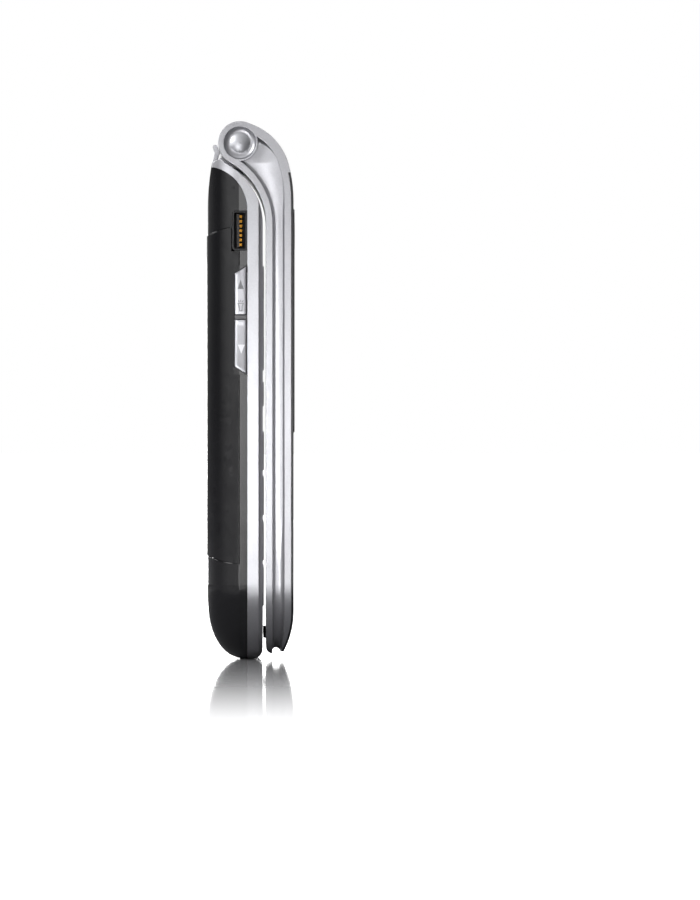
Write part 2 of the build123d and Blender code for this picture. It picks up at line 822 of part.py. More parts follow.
window_middle, window_length = rows(*window_z)
with BuildPart() as lid_panel:
    add(lid_block.part)
    add(front_skin.part, mode=Mode.INTERSECT)
    with BuildSketch(facing_front(cover_back_y)):
        add(front_outline(panel_inset, lid_bottom_z, body_length - panel_top_drop - fit))
    extrude(amount=body_width, mode=Mode.INTERSECT)
    with BuildSketch(facing_front(cover_back_y)):
        with Locations((0, window_middle)):
            RectangleRounded(2 * (window_half + fit), window_length + 2 * fit, window_corner)
    extrude(amount=body_width, mode=Mode.SUBTRACT)
finish(lid_panel.part, "lid_panel")

with BuildPart() as outer_window:
    with BuildSketch(facing_front(band_outer_y)):
        with Locations((0, window_middle)):
            RectangleRounded(2 * window_half, window_length, window_corner)
    extrude(amount=band_outer_y - window_y)
    chamfer(outer_window.faces().sort_by(Axis.Y)[0].edges(), window_proud * 0.7)
finish(outer_window.part, "outer_window")

with BuildPart() as inner_lens:
    with BuildSketch(facing_front(lid_inner_y - fit)):
        with Locations((0, lens_middle)):
            RectangleRounded(2 * lens_half, lens_length, 2.0)
    extrude(amount=lens_thickness - fit)
finish(inner_lens.part, "inner_lens")

display_z = (lens_z[0] + 1.5, lens_z[1] - 1.5)
display_half = lens_half - 1.6
display_back_y = cove_inner_y - 1.9
lid_board_thickness = 0.4
lid_board_drop = 6.5
camera_x = 0.21 * body_width
camera_z = window_z[1] - 4.6
outer_display_z = (window_z[0] + 2.8, camera_z - 4.8)
outer_display_half = window_half - 1.8
magnet_radius = 2.5
magnet_place = (-0.24 * body_width, 0.2 * body_length)
camera_radius = 2.6

with BuildPart() as inner_display:
    span_box(display_half, display_z, display_back_y, cove_inner_y - fit)
finish(inner_display.part, "inner_display")

with BuildPart() as lid_board:
    span_box(
        display_half,
        (display_z[0] - lid_board_drop, display_z[1]),
        display_back_y - fit - lid_board_thickness,
        display_back_y - fit,
    )
finish(lid_board.part, "lid_board")

with BuildPart() as outer_display:
    span_box(
        outer_display_half,
        outer_display_z,
        band_outer_y + fit,
        display_back_y - 2 * fit - lid_board_thickness,
    )
finish(outer_display.part, "outer_display")

with BuildPart() as camera_module:
    with BuildSketch(facing_front(cove_inner_y - 0.5)):
        with Locations((camera_x, camera_z)):
            RectangleRounded(2.2 * camera_radius, 2.2 * camera_radius, 0.8)
    extrude(amount=1.6)
    with BuildSketch(facing_front(cove_inner_y - 2)):
        with Locations((camera_x, camera_z)):
            Circle(camera_radius)
    extrude(amount=cove_inner_y - 2 - band_outer_y - fit)
finish(camera_module.part, "camera_module")

with BuildPart() as earpiece:
    with BuildSketch(facing_front(cove_inner_y - fit)):
        with Locations((0, ear_z - 1.2)):
            RectangleRounded(11.0, 5.0, 1.5)
    extrude(amount=1.7)
finish(earpiece.part, "earpiece")

with BuildPart() as earpiece_grille:
    with BuildSketch(facing_front(lid_inner_y - lens_thickness / 2)):
        with Locations((0, ear_z)):
            RectangleRounded(ear_size[0] - 2 * fit, ear_size[1] - 2 * fit, 0.5)
        with Locations((0, ear_z)):
            with GridLocations(1.1, 0.6, 7, 1):
                SlotOverall(0.8, 0.4, rotation=90, mode=Mode.SUBTRACT)
    extrude(amount=lens_thickness / 2)
finish(earpiece_grille.part, "earpiece_grille")

with BuildPart() as lid_magnet:
    with BuildSketch(facing_front(cove_inner_y - fit)):
        with Locations(magnet_place):
            Circle(magnet_radius)
    extrude(amount=1.8)
finish(lid_magnet.part, "lid_magnet")

with BuildPart() as lid_bumpers:
    with BuildSketch(facing_front(base_front_y - bumper_gap)):
        with Locations((-bumper_x, bumper_z), (bumper_x, bumper_z)):
            RectangleRounded(*bumper_size, 0.65)
    extrude(amount=lid_gap - bumper_gap + bumper_seat)
finish(lid_bumpers.part, "lid_bumpers")

with BuildPart() as lid_screws:
    with BuildSketch(facing_front(lid_inner_y - fit)):
        with Locations((-lid_screw_x, lid_screw_z), (lid_screw_x, lid_screw_z)):
            Circle(screw_head_radius)
    extrude(amount=screw_head - 2 * fit)
    with BuildSketch(facing_front(lid_inner_y - screw_head)):
        with Locations((-lid_screw_x, lid_screw_z), (lid_screw_x, lid_screw_z)):
            Circle(screw_radius)
    extrude(amount=inner_band)
finish(lid_screws.part, "lid_screws")

cap_rim = 0.2
cap_rise = dish_depth - cap_rim
cap_dome = (cap_radius**2 + cap_rise**2) / (2 * cap_rise)
with BuildPart() as hinge_caps:
    for side in (-1, 1):
        seat = side * (half_width - dish_depth)
        edge = seat + side * cap_rim
        middle_rise = cap_rise - cap_dome + sqrt(cap_dome**2 - (cap_radius / 2) ** 2)
        with BuildSketch(cap_plane):
            with BuildLine():
                dome = ThreePointArc(
                    (edge, cap_radius),
                    (edge + side * middle_rise, cap_radius / 2),
                    (edge + side * cap_rise, 0),
                )
                stem_end = seat - side * cap_stem_length
                Polyline(
                    dome @ 1,
                    (stem_end, 0),
                    (stem_end, cap_stem_radius),
                    (seat, cap_stem_radius),
                    (seat, cap_radius),
                    dome @ 0,
                )
            make_face()
        revolve(axis=Axis((0, hinge_y, hinge_z), (1, 0, 0)))
finish(hinge_caps.part, "hinge_caps")

# Hinge: a cam module on the left and a hollow sleeve for the cable on the right
with BuildPart() as hinge_module:
    with BuildSketch(Plane.YZ.offset(-knuckle_half + slide_gap)):
        with Locations(hinge):
            Circle(cam_radius)
    extrude(amount=cam_length)
    with BuildSketch(Plane.YZ.offset(-knuckle_half + slide_gap)):
        with Locations(hinge):
            Circle(pin_radius)
    extrude(amount=-pin_reach)
finish(hinge_module.part, "hinge_module")

sleeve_length = 2 * pin_reach
with BuildPart() as hinge_sleeve:
    with BuildSketch(Plane.YZ.offset(knuckle_half + pin_reach - slide_gap)):
        with Locations(hinge):
            Circle(pin_radius)
            Circle(cable_radius + fit, mode=Mode.SUBTRACT)
    extrude(amount=-sleeve_length)
finish(hinge_sleeve.part, "hinge_sleeve")

with BuildPart() as hinge_cable:
    with BuildSketch(Plane.YZ.offset(knuckle_half + pin_reach - slide_gap)):
        with Locations(hinge):
            Circle(cable_radius)
            Circle(cable_radius - 0.2, mode=Mode.SUBTRACT)
    extrude(amount=-sleeve_length)
finish(hinge_cable.part, "hinge_cable")

# Keypad plate and keys
with BuildPart() as keypad_plate:
    middle, length = rows(*keypad_z)
    with BuildSketch(facing_front(base_front_y + keypad_recess)):
        with Locations((0, middle)):
            RectangleRounded(2 * keypad_half, length, keypad_corner)
        add(keypad_openings(keypad_gap), mode=Mode.SUBTRACT)
    extrude(amount=keypad_recess)
finish(keypad_plate.part, "keypad_plate")

for label, place, outline, sizes in keys:
    with BuildPart() as key:
        with BuildSketch(facing_front(key_back_y)):
            with Locations(place):
                add(outline(*sizes))
        extrude(amount=key_back_y - base_front_y + key_proud)
        fillet(key.faces().sort_by(Axis.Y)[0].edges(), key_proud)
        if label != "select_key":
            with BuildSketch(facing_front(key_back_y)):
                with Locations(place):
                    add(outline(*sizes, grow=flange))
            extrude(amount=flange_thickness)
    finish(key.part, label)

# Volume keys: two bars with slanted far ends, in one slot
upper_low, upper_high = volume_upper_z
lower_low, lower_high = volume_lower_z
volume_front_y = frame_back_y + slide_gap
volume_back_y = volume_y
for label, square_z, slant_z in (
    ("volume_up_key", upper_low, upper_high),
    ("volume_down_key", lower_high, lower_low),
):
    turn = 1 if slant_z > square_z else -1
    with BuildPart() as key:
        with BuildSketch(Plane.YZ.offset(-half_width - volume_proud)):
            Polygon(
                (volume_front_y, square_z),
                (volume_back_y, square_z),
                (volume_back_y, slant_z - turn * volume_slant),
                (volume_front_y, slant_z),
                align=None,
            )
        extrude(amount=wall + volume_proud + fit)
        with BuildSketch(Plane.YZ.offset(-half_width + wall + fit)):
            Polygon(
                (volume_front_y, square_z),
                (volume_back_y + flange, square_z),
                (volume_back_y + flange, slant_z + turn * flange - turn * 0.2),
                (volume_front_y, slant_z + turn * flange - turn * 0.2),
                align=None,
            )
        extrude(amount=flange_thickness)
        fillet(key.faces().sort_by(Axis.X)[0].edges(), 0.12)
    finish(key.part, label)

# Boards and what they carry
with BuildPart() as keypad_dome_sheet:
    middle, length = rows(*keypad_z)
    with BuildSketch(facing_front(dome_y + dome_thickness)):
        with Locations((0, middle)):
            RectangleRounded(2 * keypad_half, length, keypad_corner)
    extrude(amount=dome_thickness)
finish(keypad_dome_sheet.part, "keypad_dome_sheet")

with BuildPart() as main_board:
    with BuildSketch(facing_front(board_back_y)):
        add(front_outline(inset=wall + slide_gap, bottom=0, top=board_top_z))
    extrude(amount=board_thickness)
finish(main_board.part, "main_board")

shield_top_z = 0.72 * body_length
shields = (
    (-0.19 * body_width, 0.17 * body_width, (0.5 * body_length, shield_top_z)),
    (0.21 * body_width, 0.19 * body_width, (0.44 * body_length, shield_top_z)),
    (0.0, 0.3 * body_width, (0.22 * body_length, 0.42 * body_length)),
)
shield_depth = case_floor_y - bay_floor - board_back_y - slide_gap
with BuildPart() as board_shields:
    for x_middle, half, z_range in shields:
        span_box(half, z_range, board_back_y, board_back_y + shield_depth, x=x_middle)
finish(board_shields.part, "board_shields")

with BuildPart() as battery:
    span_box(
        battery_width / 2,
        (battery_z - battery_length / 2, battery_z + battery_length / 2),
        case_floor_y + fit,
        case_floor_y + battery_depth,
    )
    fillet(battery.edges().filter_by(Axis.Z), 1.2)
finish(battery.part, "battery")

with BuildPart() as side_connector_shell:
    x_low = -half_width + 0.4
    with BuildSketch(Plane.YZ.offset(x_low)):
        add(socket_face(fit, 0))
    extrude(amount=connector_depth)
    with BuildSketch(Plane.YZ.offset(x_low)):
        add(socket_face(connector_wall, connector_wall))
    extrude(amount=connector_depth - connector_wall, mode=Mode.SUBTRACT)
finish(side_connector_shell.part, "side_connector_shell")

tongue_y = 2.35
contact_y = tongue_y - tongue_thickness / 2 - contact_size / 2
tongue_setback = 0.8
tongue_length = connector_depth - connector_wall - tongue_setback
tongue_x = x_low + tongue_setback + tongue_length / 2
contact_span = contact_pitch * (contact_count - 1) + 2 * contact_size
with BuildPart() as side_connector_tongue:
    with Locations((tongue_x, tongue_y, sum(connector_z) / 2)):
        Box(tongue_length, tongue_thickness, contact_span)
finish(side_connector_tongue.part, "side_connector_tongue")

with BuildPart() as side_connector_contacts:
    for index in range(contact_count):
        z = sum(connector_z) / 2 + (index - (contact_count - 1) / 2) * contact_pitch
        with Locations((tongue_x, contact_y, z)):
            Box(tongue_length, contact_size, contact_size)
finish(side_connector_contacts.part, "side_connector_contacts")

with BuildPart() as audio_jack_housing:
    with BuildSketch(Plane.YZ.offset(half_width - fit)):
        with Locations((jack_y, jack_z)):
            Circle(jack_nose_radius)
    extrude(amount=-6)
    with Locations((half_width - 5 - (jack_depth - 3) / 2, jack_y - 0.1, jack_z)):
        Box(jack_depth - 3, jack_body - 0.4, jack_body + 0.6)
    with BuildSketch(Plane.YZ.offset(half_width)):
        with Locations((jack_y, jack_z)):
            Circle(jack_radius)
    extrude(amount=-jack_depth, mode=Mode.SUBTRACT)
finish(audio_jack_housing.part, "audio_jack_housing")

jack_spring_size = (8.0, 1.2, 0.3)
jack_spring_x = half_width - 9.5
with BuildPart() as audio_jack_contacts:
    for z_side in (-1, 1):
        spring_z = jack_z + z_side * (jack_body / 2 + 0.3 + jack_spring_size[2] / 2)
        with Locations((jack_spring_x, jack_y, spring_z)):
            Box(*jack_spring_size)
finish(audio_jack_contacts.part, "audio_jack_contacts")

# Switches behind the volume keys, on their own little board
switch_x = -half_width + wall + fit + flange_thickness + press_gap
with BuildPart() as side_key_switches:
    with Locations((switch_x + 0.8, facet_y, (volume_lower_z[0] + volume_upper_z[1]) / 2)):
        Box(0.6, 2.2, volume_upper_z[1] - volume_lower_z[0] - 1)
    for low, high in (volume_lower_z, volume_upper_z):
        with Locations((switch_x + 0.25, facet_y, (low + high) / 2)):
            Box(0.5, 1.8, 3.6)
finish(side_key_switches.part, "side_key_switches")

# Parts in the upper and lower chambers, each on the back of the board
microphone_place = (-0.31 * body_width, 0.13 * body_length)
microphone_radius = 2.0
microphone_height = 1.6
motor_radius = 2.0
motor_length = 0.16 * body_width
motor_shaft = 0.4
motor_shaft_reach = 1.0
motor_weight = 2.4
motor_x = -0.2 * body_width
motor = (board_back_y + motor_radius + 0.1, body_length - 21.0)
speaker_place = (0.16 * body_width, 0.132 * body_length)
speaker_size = (0.3 * body_width, 0.086 * body_length)
speaker_corner = 2.0
speaker_height = 3.6
antenna_x = -0.12 * body_width
antenna_half = 0.13 * body_width
antenna_z = (0.09 * body_length, 0.174 * body_length)
antenna_height = 4.4
antenna_wall = 0.6
contact_places = (-6.0, -2.0, 2.0, 6.0)

with BuildPart() as microphone:
    with BuildSketch(facing_front(board_back_y + microphone_height)):
        with Locations(microphone_place):
            Circle(microphone_radius)
    extrude(amount=microphone_height - fit)
finish(microphone.part, "microphone")

with BuildPart() as vibration_motor:
    with BuildSketch(Plane.YZ.offset(motor_x)):
        with Locations(motor):
            Circle(motor_radius)
    extrude(amount=motor_length)
    with BuildSketch(Plane.YZ.offset(motor_x + motor_length)):
        with Locations(motor):
            Circle(motor_shaft)
    extrude(amount=motor_shaft_reach)
    # The weight on the shaft is half a disc, so it shakes the phone as it turns
    with BuildSketch(Plane.YZ.offset(motor_x + motor_length + motor_shaft_reach / 2)):
        with BuildLine():
            swing = CenterArc(motor, motor_radius - 0.1, 180, 180)
            Line(swing @ 0, swing @ 1)
        make_face()
    extrude(amount=motor_weight)
finish(vibration_motor.part, "vibration_motor")

with BuildPart() as loudspeaker:
    with BuildSketch(facing_front(board_back_y + speaker_height)):
        with Locations(speaker_place):
            RectangleRounded(*speaker_size, speaker_corner)
    extrude(amount=speaker_height - fit)
finish(loudspeaker.part, "loudspeaker")

with BuildPart() as antenna:
    antenna_top_y = board_back_y + antenna_height
    span_box(antenna_half, antenna_z, board_back_y + fit, antenna_top_y, x=antenna_x)
    span_box(
        antenna_half - antenna_wall,
        (antenna_z[0] + antenna_wall, antenna_z[1] - antenna_wall),
        board_back_y - 1,
        antenna_top_y - antenna_wall,
        Mode.SUBTRACT,
        x=antenna_x,
    )
finish(antenna.part, "antenna")

contact_low_y = case_floor_y + 0.4
contact_middle_z = battery_z + battery_length / 2 + bay_gap / 2 + fit / 2
with BuildPart() as battery_contacts:
    for x_place in contact_places:
        with Locations((x_place, contact_low_y + 1.2, contact_middle_z)):
            Box(1.2, 2.4, bay_gap - 2 * fit)
finish(battery_contacts.part, "battery_contacts")
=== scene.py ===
"""Flip phone, closed and standing on its bottom end: finishes, side keys, marks and the studio round it.

X runs across the phone, Y through its thickness with the battery side at +Y, Z up its length, in metres.
"""
import bpy, bmesh, math
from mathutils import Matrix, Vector
from mathutils.bvhtree import BVHTree


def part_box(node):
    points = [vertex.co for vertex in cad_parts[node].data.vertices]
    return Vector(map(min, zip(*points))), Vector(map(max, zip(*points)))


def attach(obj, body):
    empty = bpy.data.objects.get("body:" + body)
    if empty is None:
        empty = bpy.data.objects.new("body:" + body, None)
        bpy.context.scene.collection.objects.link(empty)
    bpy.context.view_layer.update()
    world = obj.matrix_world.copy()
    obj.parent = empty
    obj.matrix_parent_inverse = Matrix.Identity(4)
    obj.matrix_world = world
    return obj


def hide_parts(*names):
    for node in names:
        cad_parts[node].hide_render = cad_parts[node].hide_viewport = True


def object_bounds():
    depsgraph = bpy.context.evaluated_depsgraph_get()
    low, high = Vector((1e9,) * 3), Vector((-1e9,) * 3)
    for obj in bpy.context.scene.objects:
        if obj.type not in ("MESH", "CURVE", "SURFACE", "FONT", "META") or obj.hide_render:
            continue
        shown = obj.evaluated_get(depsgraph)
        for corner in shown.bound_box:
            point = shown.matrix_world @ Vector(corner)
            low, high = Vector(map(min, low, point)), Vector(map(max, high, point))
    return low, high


bl_info = {
    "name": "Flip Phone Dresser",
    "version": (1, 0, 0),
    "blender": (4, 5, 0),
    "location": "3D View > Sidebar > Flip Phone",
    "description": "Gives a clamshell phone its finishes, its key marks and a plain studio",
    "category": "Object",
}

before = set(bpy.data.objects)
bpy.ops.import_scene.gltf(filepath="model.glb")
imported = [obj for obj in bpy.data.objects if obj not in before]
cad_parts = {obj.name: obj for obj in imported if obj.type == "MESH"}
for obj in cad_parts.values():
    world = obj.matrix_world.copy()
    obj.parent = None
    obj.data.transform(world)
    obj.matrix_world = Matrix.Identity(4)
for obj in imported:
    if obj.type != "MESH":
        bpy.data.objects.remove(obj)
start_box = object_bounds()

MM = 0.001
# Settings of nodes that come again and again
SMOOTH = {"interpolation_type": "SMOOTHSTEP"}
TIMES = {"operation": "MULTIPLY"}


def srgb(text):
    """Linear colour with alpha from an sRGB hex value."""
    def linear(value):
        return value / 12.92 if value <= 0.04045 else ((value + 0.055) / 1.055) ** 2.4
    return tuple(linear(int(text[i:i + 2], 16) / 255) for i in (1, 3, 5)) + (1.0,)


def node(tree, kind, settings=None, inputs=None):
    """Adds a node, sets its own settings, and gives each named input a value or a link.

    Inputs that aren't named keep their defaults; a range runs from 0 to 1 on both sides.
    """
    made = tree.nodes.new(kind)
    for name, value in (settings or {}).items():
        setattr(made, name, value)
    for name, value in (inputs or {}).items():
        socket = made.inputs[name]
        if isinstance(value, bpy.types.NodeSocket):
            tree.links.new(value, socket)
        else:
            socket.default_value = value
    return made


def new_material(name):
    """Empty material, its node tree, and the place on the piece, in metres, that its patterns follow."""
    material = bpy.data.materials.new(name)
    material.use_nodes = True
    tree = material.node_tree
    tree.nodes.clear()
    return material, tree, node(tree, "ShaderNodeTexCoord").outputs["Object"]


def surfaced(material, shader):
    """The material, with a shader joined to its output."""
    node(material.node_tree, "ShaderNodeOutputMaterial", inputs={"Surface": shader.outputs[0]})
    return material


def per_mm(size_mm):
    """Texture scale whose pattern repeats about once in a size in millimetres."""
    return 1.0 / (size_mm * MM)


def varied(tree, place, size_mm, low, high):
    """A value that wanders between two limits over patches of a size in millimetres."""
    noise = node(
        tree, "ShaderNodeTexNoise", inputs={"Vector": place, "Scale": per_mm(size_mm), "Detail": 3.0})
    # Nearly all of the noise lies between 0.3 and 0.7
    return node(tree, "ShaderNodeMapRange", inputs={
        "Value": noise.outputs["Fac"], "From Min": 0.3, "From Max": 0.7, "To Min": low, "To Max": high,
    }).outputs["Result"]


def relief(tree, height, depth_mm, strength=1.0, normal=None):
    """Bump of a real depth in millimetres over an optional rounded-edge normal."""
    inputs = {"Height": height, "Distance": depth_mm * MM, "Strength": strength}
    if normal:
        inputs["Normal"] = normal
    return node(tree, "ShaderNodeBump", inputs=inputs).outputs["Normal"]


def soft_edge(tree, radius_mm):
    """Normal of an edge that is broken to a small radius, as on a moulding."""
    return node(tree, "ShaderNodeBevel", {"samples": 6}, {"Radius": radius_mm * MM}).outputs["Normal"]


# Finishes

def gloss_black_polycarbonate(finish):
    """Polycarbonate, injection moulded in a polished tool: deep black that mirrors the room softly."""
    material, tree, place = new_material("gloss_black_polycarbonate")
    # Flow waves of the moulding, about 9 mm apart, make long reflections wander a little
    wave = node(tree, "ShaderNodeTexNoise", inputs={"Vector": place, "Scale": per_mm(9.0), "Detail": 1.0})
    shader = node(tree, "ShaderNodeBsdfPrincipled", inputs={
        "Base Color": (*finish.case_black, 1.0),
        "Roughness": varied(tree, place, 6.0, 0.12, 0.16),
        "IOR": 1.58,
        "Normal": relief(tree, wave.outputs["Fac"], 0.012, 0.5, soft_edge(tree, 0.05)),
    })
    return surfaced(material, shader)


def silver_lacquer(finish, name="silver_lacquer", roughness=0.38, edge=0.14, colour=None):
    """Moulded ABS with a sprayed aluminium lacquer: bright and soft, fine flakes under a clear coat."""
    material, tree, place = new_material(name)
    # Real flakes are 0.02 mm; they are drawn 0.15 mm wide so that they show
    flakes = node(tree, "ShaderNodeTexVoronoi", inputs={"Vector": place, "Scale": per_mm(0.15)})
    tone = node(tree, "ShaderNodeMapRange", inputs={
        "Value": flakes.outputs["Color"], "To Min": 0.93, "To Max": 1.04,
    })
    colour = node(tree, "ShaderNodeMix", {"data_type": "RGBA", "blend_type": "MULTIPLY"}, {
        "Factor": 1.0, "A": (*(colour or finish.silver), 1.0), "B": tone.outputs["Result"],
    })
    shader = node(tree, "ShaderNodeBsdfPrincipled", inputs={
        "Base Color": colour.outputs["Result"],
        "Metallic": 0.9,
        "Roughness": varied(tree, place, 5.0, roughness - 0.03, roughness + 0.03),
        "Coat Weight": 0.2,
        "Coat Roughness": 0.15,
        "Normal": relief(tree, flakes.outputs["Distance"], 0.002, 0.25, soft_edge(tree, edge)),
    })
    return surfaced(material, shader)


def polished_window_acrylic(finish):
    """Cast acrylic, polished, with black print behind it: a mirror-black sheet with crisp reflections."""
    material, tree, place = new_material("polished_window_acrylic")
    shader = node(tree, "ShaderNodeBsdfPrincipled", inputs={
        "Base Color": (*finish.window_black, 1.0),
        "Roughness": varied(tree, place, 7.0, 0.02, 0.05),
        "IOR": 1.49,
        "Coat Weight": 0.5,
        "Coat Roughness": 0.03,
        "Normal": soft_edge(tree, 0.08),
    })
    return surfaced(material, shader)


def nickel_plated(name, colour, roughness, grain_mm, edge=0.08):
    """Steel with bright nickel plate: a clean mirror, softened by the fine grain of the metal under it."""
    material, tree, place = new_material(name)
    broken = soft_edge(tree, edge) if edge else None
    grain = node(
        tree, "ShaderNodeTexNoise", inputs={"Vector": place, "Scale": per_mm(grain_mm), "Detail": 4.0})
    shader = node(tree, "ShaderNodeBsdfPrincipled", inputs={
        "Base Color": srgb(colour),
        "Metallic": 1.0,
        "Roughness": varied(tree, place, 3.0, roughness - 0.04, roughness + 0.04),
        "Normal": relief(tree, grain.outputs["Fac"], 0.004, 0.3, broken),
    })
    return surfaced(material, shader)


def gold_plated(finish):
    """Phosphor bronze with hard gold plate: warm, bright and slightly rubbed where plugs wipe it."""
    material, tree, place = new_material("gold_plated_contact")
    shader = node(tree, "ShaderNodeBsdfPrincipled", inputs={
        "Base Color": (*finish.gold, 1.0),
        "Metallic": 1.0,
        "Roughness": varied(tree, place, 0.6, 0.22, 0.4),
        "Normal": soft_edge(tree, 0.05),
    })
    return surfaced(material, shader)


def spark_eroded_plastic(name, colour, roughness, grain_mm, depth_mm=0.006):
    """Plastic moulded against a spark-eroded tool: an even matt grain that greys the highlights."""
    material, tree, place = new_material(name)
    grain = node(
        tree, "ShaderNodeTexNoise", inputs={"Vector": place, "Scale": per_mm(grain_mm), "Detail": 4.0})
    shader = node(tree, "ShaderNodeBsdfPrincipled", inputs={
        "Base Color": srgb(colour),
        "Roughness": varied(tree, place, 1.2, roughness - 0.015, roughness + 0.015),
        "Normal": relief(tree, grain.outputs["Fac"], depth_mm, 0.6, soft_edge(tree, 0.08)),
    })
    return surfaced(material, shader)


def etched_board():
    """Glass-epoxy board under green solder mask: copper tracks show as lighter ridges, 0.6 mm apart."""
    material, tree, place = new_material("solder_masked_board")
    tracks = node(tree, "ShaderNodeTexBrick", {"offset": 0.5}, {
        "Vector": place,
        "Scale": per_mm(2.4),
        "Mortar Size": 0.02,
        "Color1": srgb("#0f3f24"),
        "Color2": srgb("#0d3820"),
        "Mortar": srgb("#2c6b43"),
    })
    shader = node(tree, "ShaderNodeBsdfPrincipled", inputs={
        "Base Color": tracks.outputs["Color"],
        "Roughness": varied(tree, place, 3.0, 0.28, 0.42),
        "Normal": relief(tree, tracks.outputs["Fac"], 0.03, 0.4),
    })
    return surfaced(material, shader)


def printed_ink(name, colour):
    """Pad-printed ink: flat and slightly chalky."""
    material, tree, place = new_material(name)
    shader = node(tree, "ShaderNodeBsdfPrincipled", inputs={
        "Base Color": srgb(colour), "Roughness": varied(tree, place, 0.5, 0.5, 0.7),
    })
    return surfaced(material, shader)


# Sizes, colours and the studio

class PhoneFinish(bpy.types.PropertyGroup):
    """Colours of the visible finishes"""

    case_black: bpy.props.FloatVectorProperty(
        name="Case black", description="Colour of the moulded case", subtype="COLOR", size=3,
        min=0.0, max=1.0, default=srgb("#0e0e10")[:3])
    silver: bpy.props.FloatVectorProperty(
        name="Silver", description="Colour of the lacquered frames", subtype="COLOR", size=3,
        min=0.0, max=1.0, default=srgb("#a8a8ac")[:3])
    key_silver: bpy.props.FloatVectorProperty(
        name="Key silver", description="Colour of the lacquered keys", subtype="COLOR", size=3,
        min=0.0, max=1.0, default=srgb("#97979b")[:3])
    window_black: bpy.props.FloatVectorProperty(
        name="Window black", description="Colour of the polished window", subtype="COLOR", size=3,
        min=0.0, max=1.0, default=srgb("#08080a")[:3])
    gold: bpy.props.FloatVectorProperty(
        name="Gold", description="Colour of the plated contacts", subtype="COLOR", size=3,
        min=0.0, max=1.0, default=srgb("#8a6224")[:3])


class PhoneStudio(bpy.types.PropertyGroup):
    """Camera, floor and lamps"""

    camera_distance: bpy.props.FloatProperty(
        name="Camera distance", description="From the lens to the near side of the phone",
        default=1.85, min=0.3, unit="LENGTH")
    picture_height: bpy.props.FloatProperty(
        name="Picture height", description="Height of the picture at the near side of the phone",
        default=0.1668, min=0.05, unit="LENGTH")
    narrow_level: bpy.props.FloatProperty(
        name="Narrow panel", description="Brightness of the panel behind the camera", default=2.9, min=0.0)
    side_glow: bpy.props.FloatProperty(
        name="Glow beside the phone", description="What gloss mirrors on the left and right",
        default=0.45, min=0.0)
    quarter_glow: bpy.props.FloatProperty(
        name="Quarter glow", description="What gloss mirrors between the side and the back",
        default=0.8, min=0.0)
    overhead_level: bpy.props.FloatProperty(
        name="Overhead lamp", description="Brightness of the large lamp above", default=2.4, min=0.0)
    near_level: bpy.props.FloatProperty(
        name="Near lamp", description="Brightness of the low lamp beside the phone", default=2.4, min=0.0)
    high_level: bpy.props.FloatProperty(
        name="High lamp", description="Brightness of the lamp above the battery side",
        default=15.0, min=0.0)
    lid_side_glow: bpy.props.FloatProperty(
        name="Glow before the lid", description="What gloss mirrors in front of the lid",
        default=0.12, min=0.0)
    back_glow: bpy.props.FloatProperty(
        name="Glow behind the case", description="What gloss mirrors on the battery side",
        default=0.06, min=0.0)
    sky_glow: bpy.props.FloatProperty(
        name="Glow above", description="What gloss mirrors over the phone", default=0.5, min=0.0)
    room_light: bpy.props.FloatProperty(
        name="Room light", description="Strength of the even light from the room", default=0.45, min=0.0)


SENSOR_MM = 36.0
# Pixels: the picture's long side, and how far the phone stands left of its middle and above it
PICTURE_LONG_SIDE = 900
PHONE_LEFT, PHONE_UP = 99.3, 59.2
# Share of the quarter glow that the far side keeps
FAR_QUARTER = 0.12
# Where along X the glow beside the phone starts, on the camera's side and on the far side
NEAR_GLOW_START, FAR_GLOW_START = -0.5, 0.85
# Lamps on each side: place for the right side, shape, width, height, and spread in degrees
LAMPS = (
    ("narrow_panel", (2.0, 0.0, 0.05), "RECTANGLE", 0.42, 0.42, 180),
    ("near_lamp", (0.15, 0.027, 0.034), "ELLIPSE", 0.036, 0.0864, 90),
    ("high_lamp", (0.5, 0.75, 0.45), "RECTANGLE", 0.4, 0.4, 180),
)
# The overhead lamp's side and height, and half of the floor's side
OVERHEAD_SIZE, OVERHEAD_HEIGHT, FLOOR_HALF = 0.9, 1.1, 6.0

# Printed marks: how proud of the key they stand, how far they are let in, half of a character's
# thickness, the height of a digit, and that height as a share of the typeface's size
MARK_PROUD, MARK_SUNK = 0.012 * MM, 0.05 * MM
CHARACTER_HALF, DIGIT_HEIGHT, DIGIT_SHARE = 0.03 * MM, 3.0 * MM, 0.7


def give(names, material):
    """Gives CAD nodes one material."""
    for name in names:
        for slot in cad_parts[name].material_slots:
            slot.material = material


def placed(name, data):
    """New object in the scene that holds a mesh, a curve, a lamp or a camera."""
    made = bpy.data.objects.new(name, data)
    bpy.context.scene.collection.objects.link(made)
    return made


def new_piece(name, mesh, body, material):
    """Puts a finished mesh in the scene on a body."""
    piece = placed(name, mesh)
    piece.data.materials.append(material)
    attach(piece, body)
    return piece


def finished_mesh(name, shape, crease=35):
    """Mesh with its normals outside, smooth apart from edges sharper than the crease angle."""
    bmesh.ops.recalc_face_normals(shape, faces=shape.faces)
    mesh = bpy.data.meshes.new(name)
    shape.to_mesh(mesh)
    shape.free()
    mesh.shade_smooth()
    mesh.set_sharp_from_angle(angle=math.radians(crease))
    return mesh


def walls(shape, top, low):
    """Walls between two rings of points, one over the other."""
    for k in range(len(top)):
        n = (k + 1) % len(top)
        shape.faces.new((top[k], top[n], low[n], low[k]))


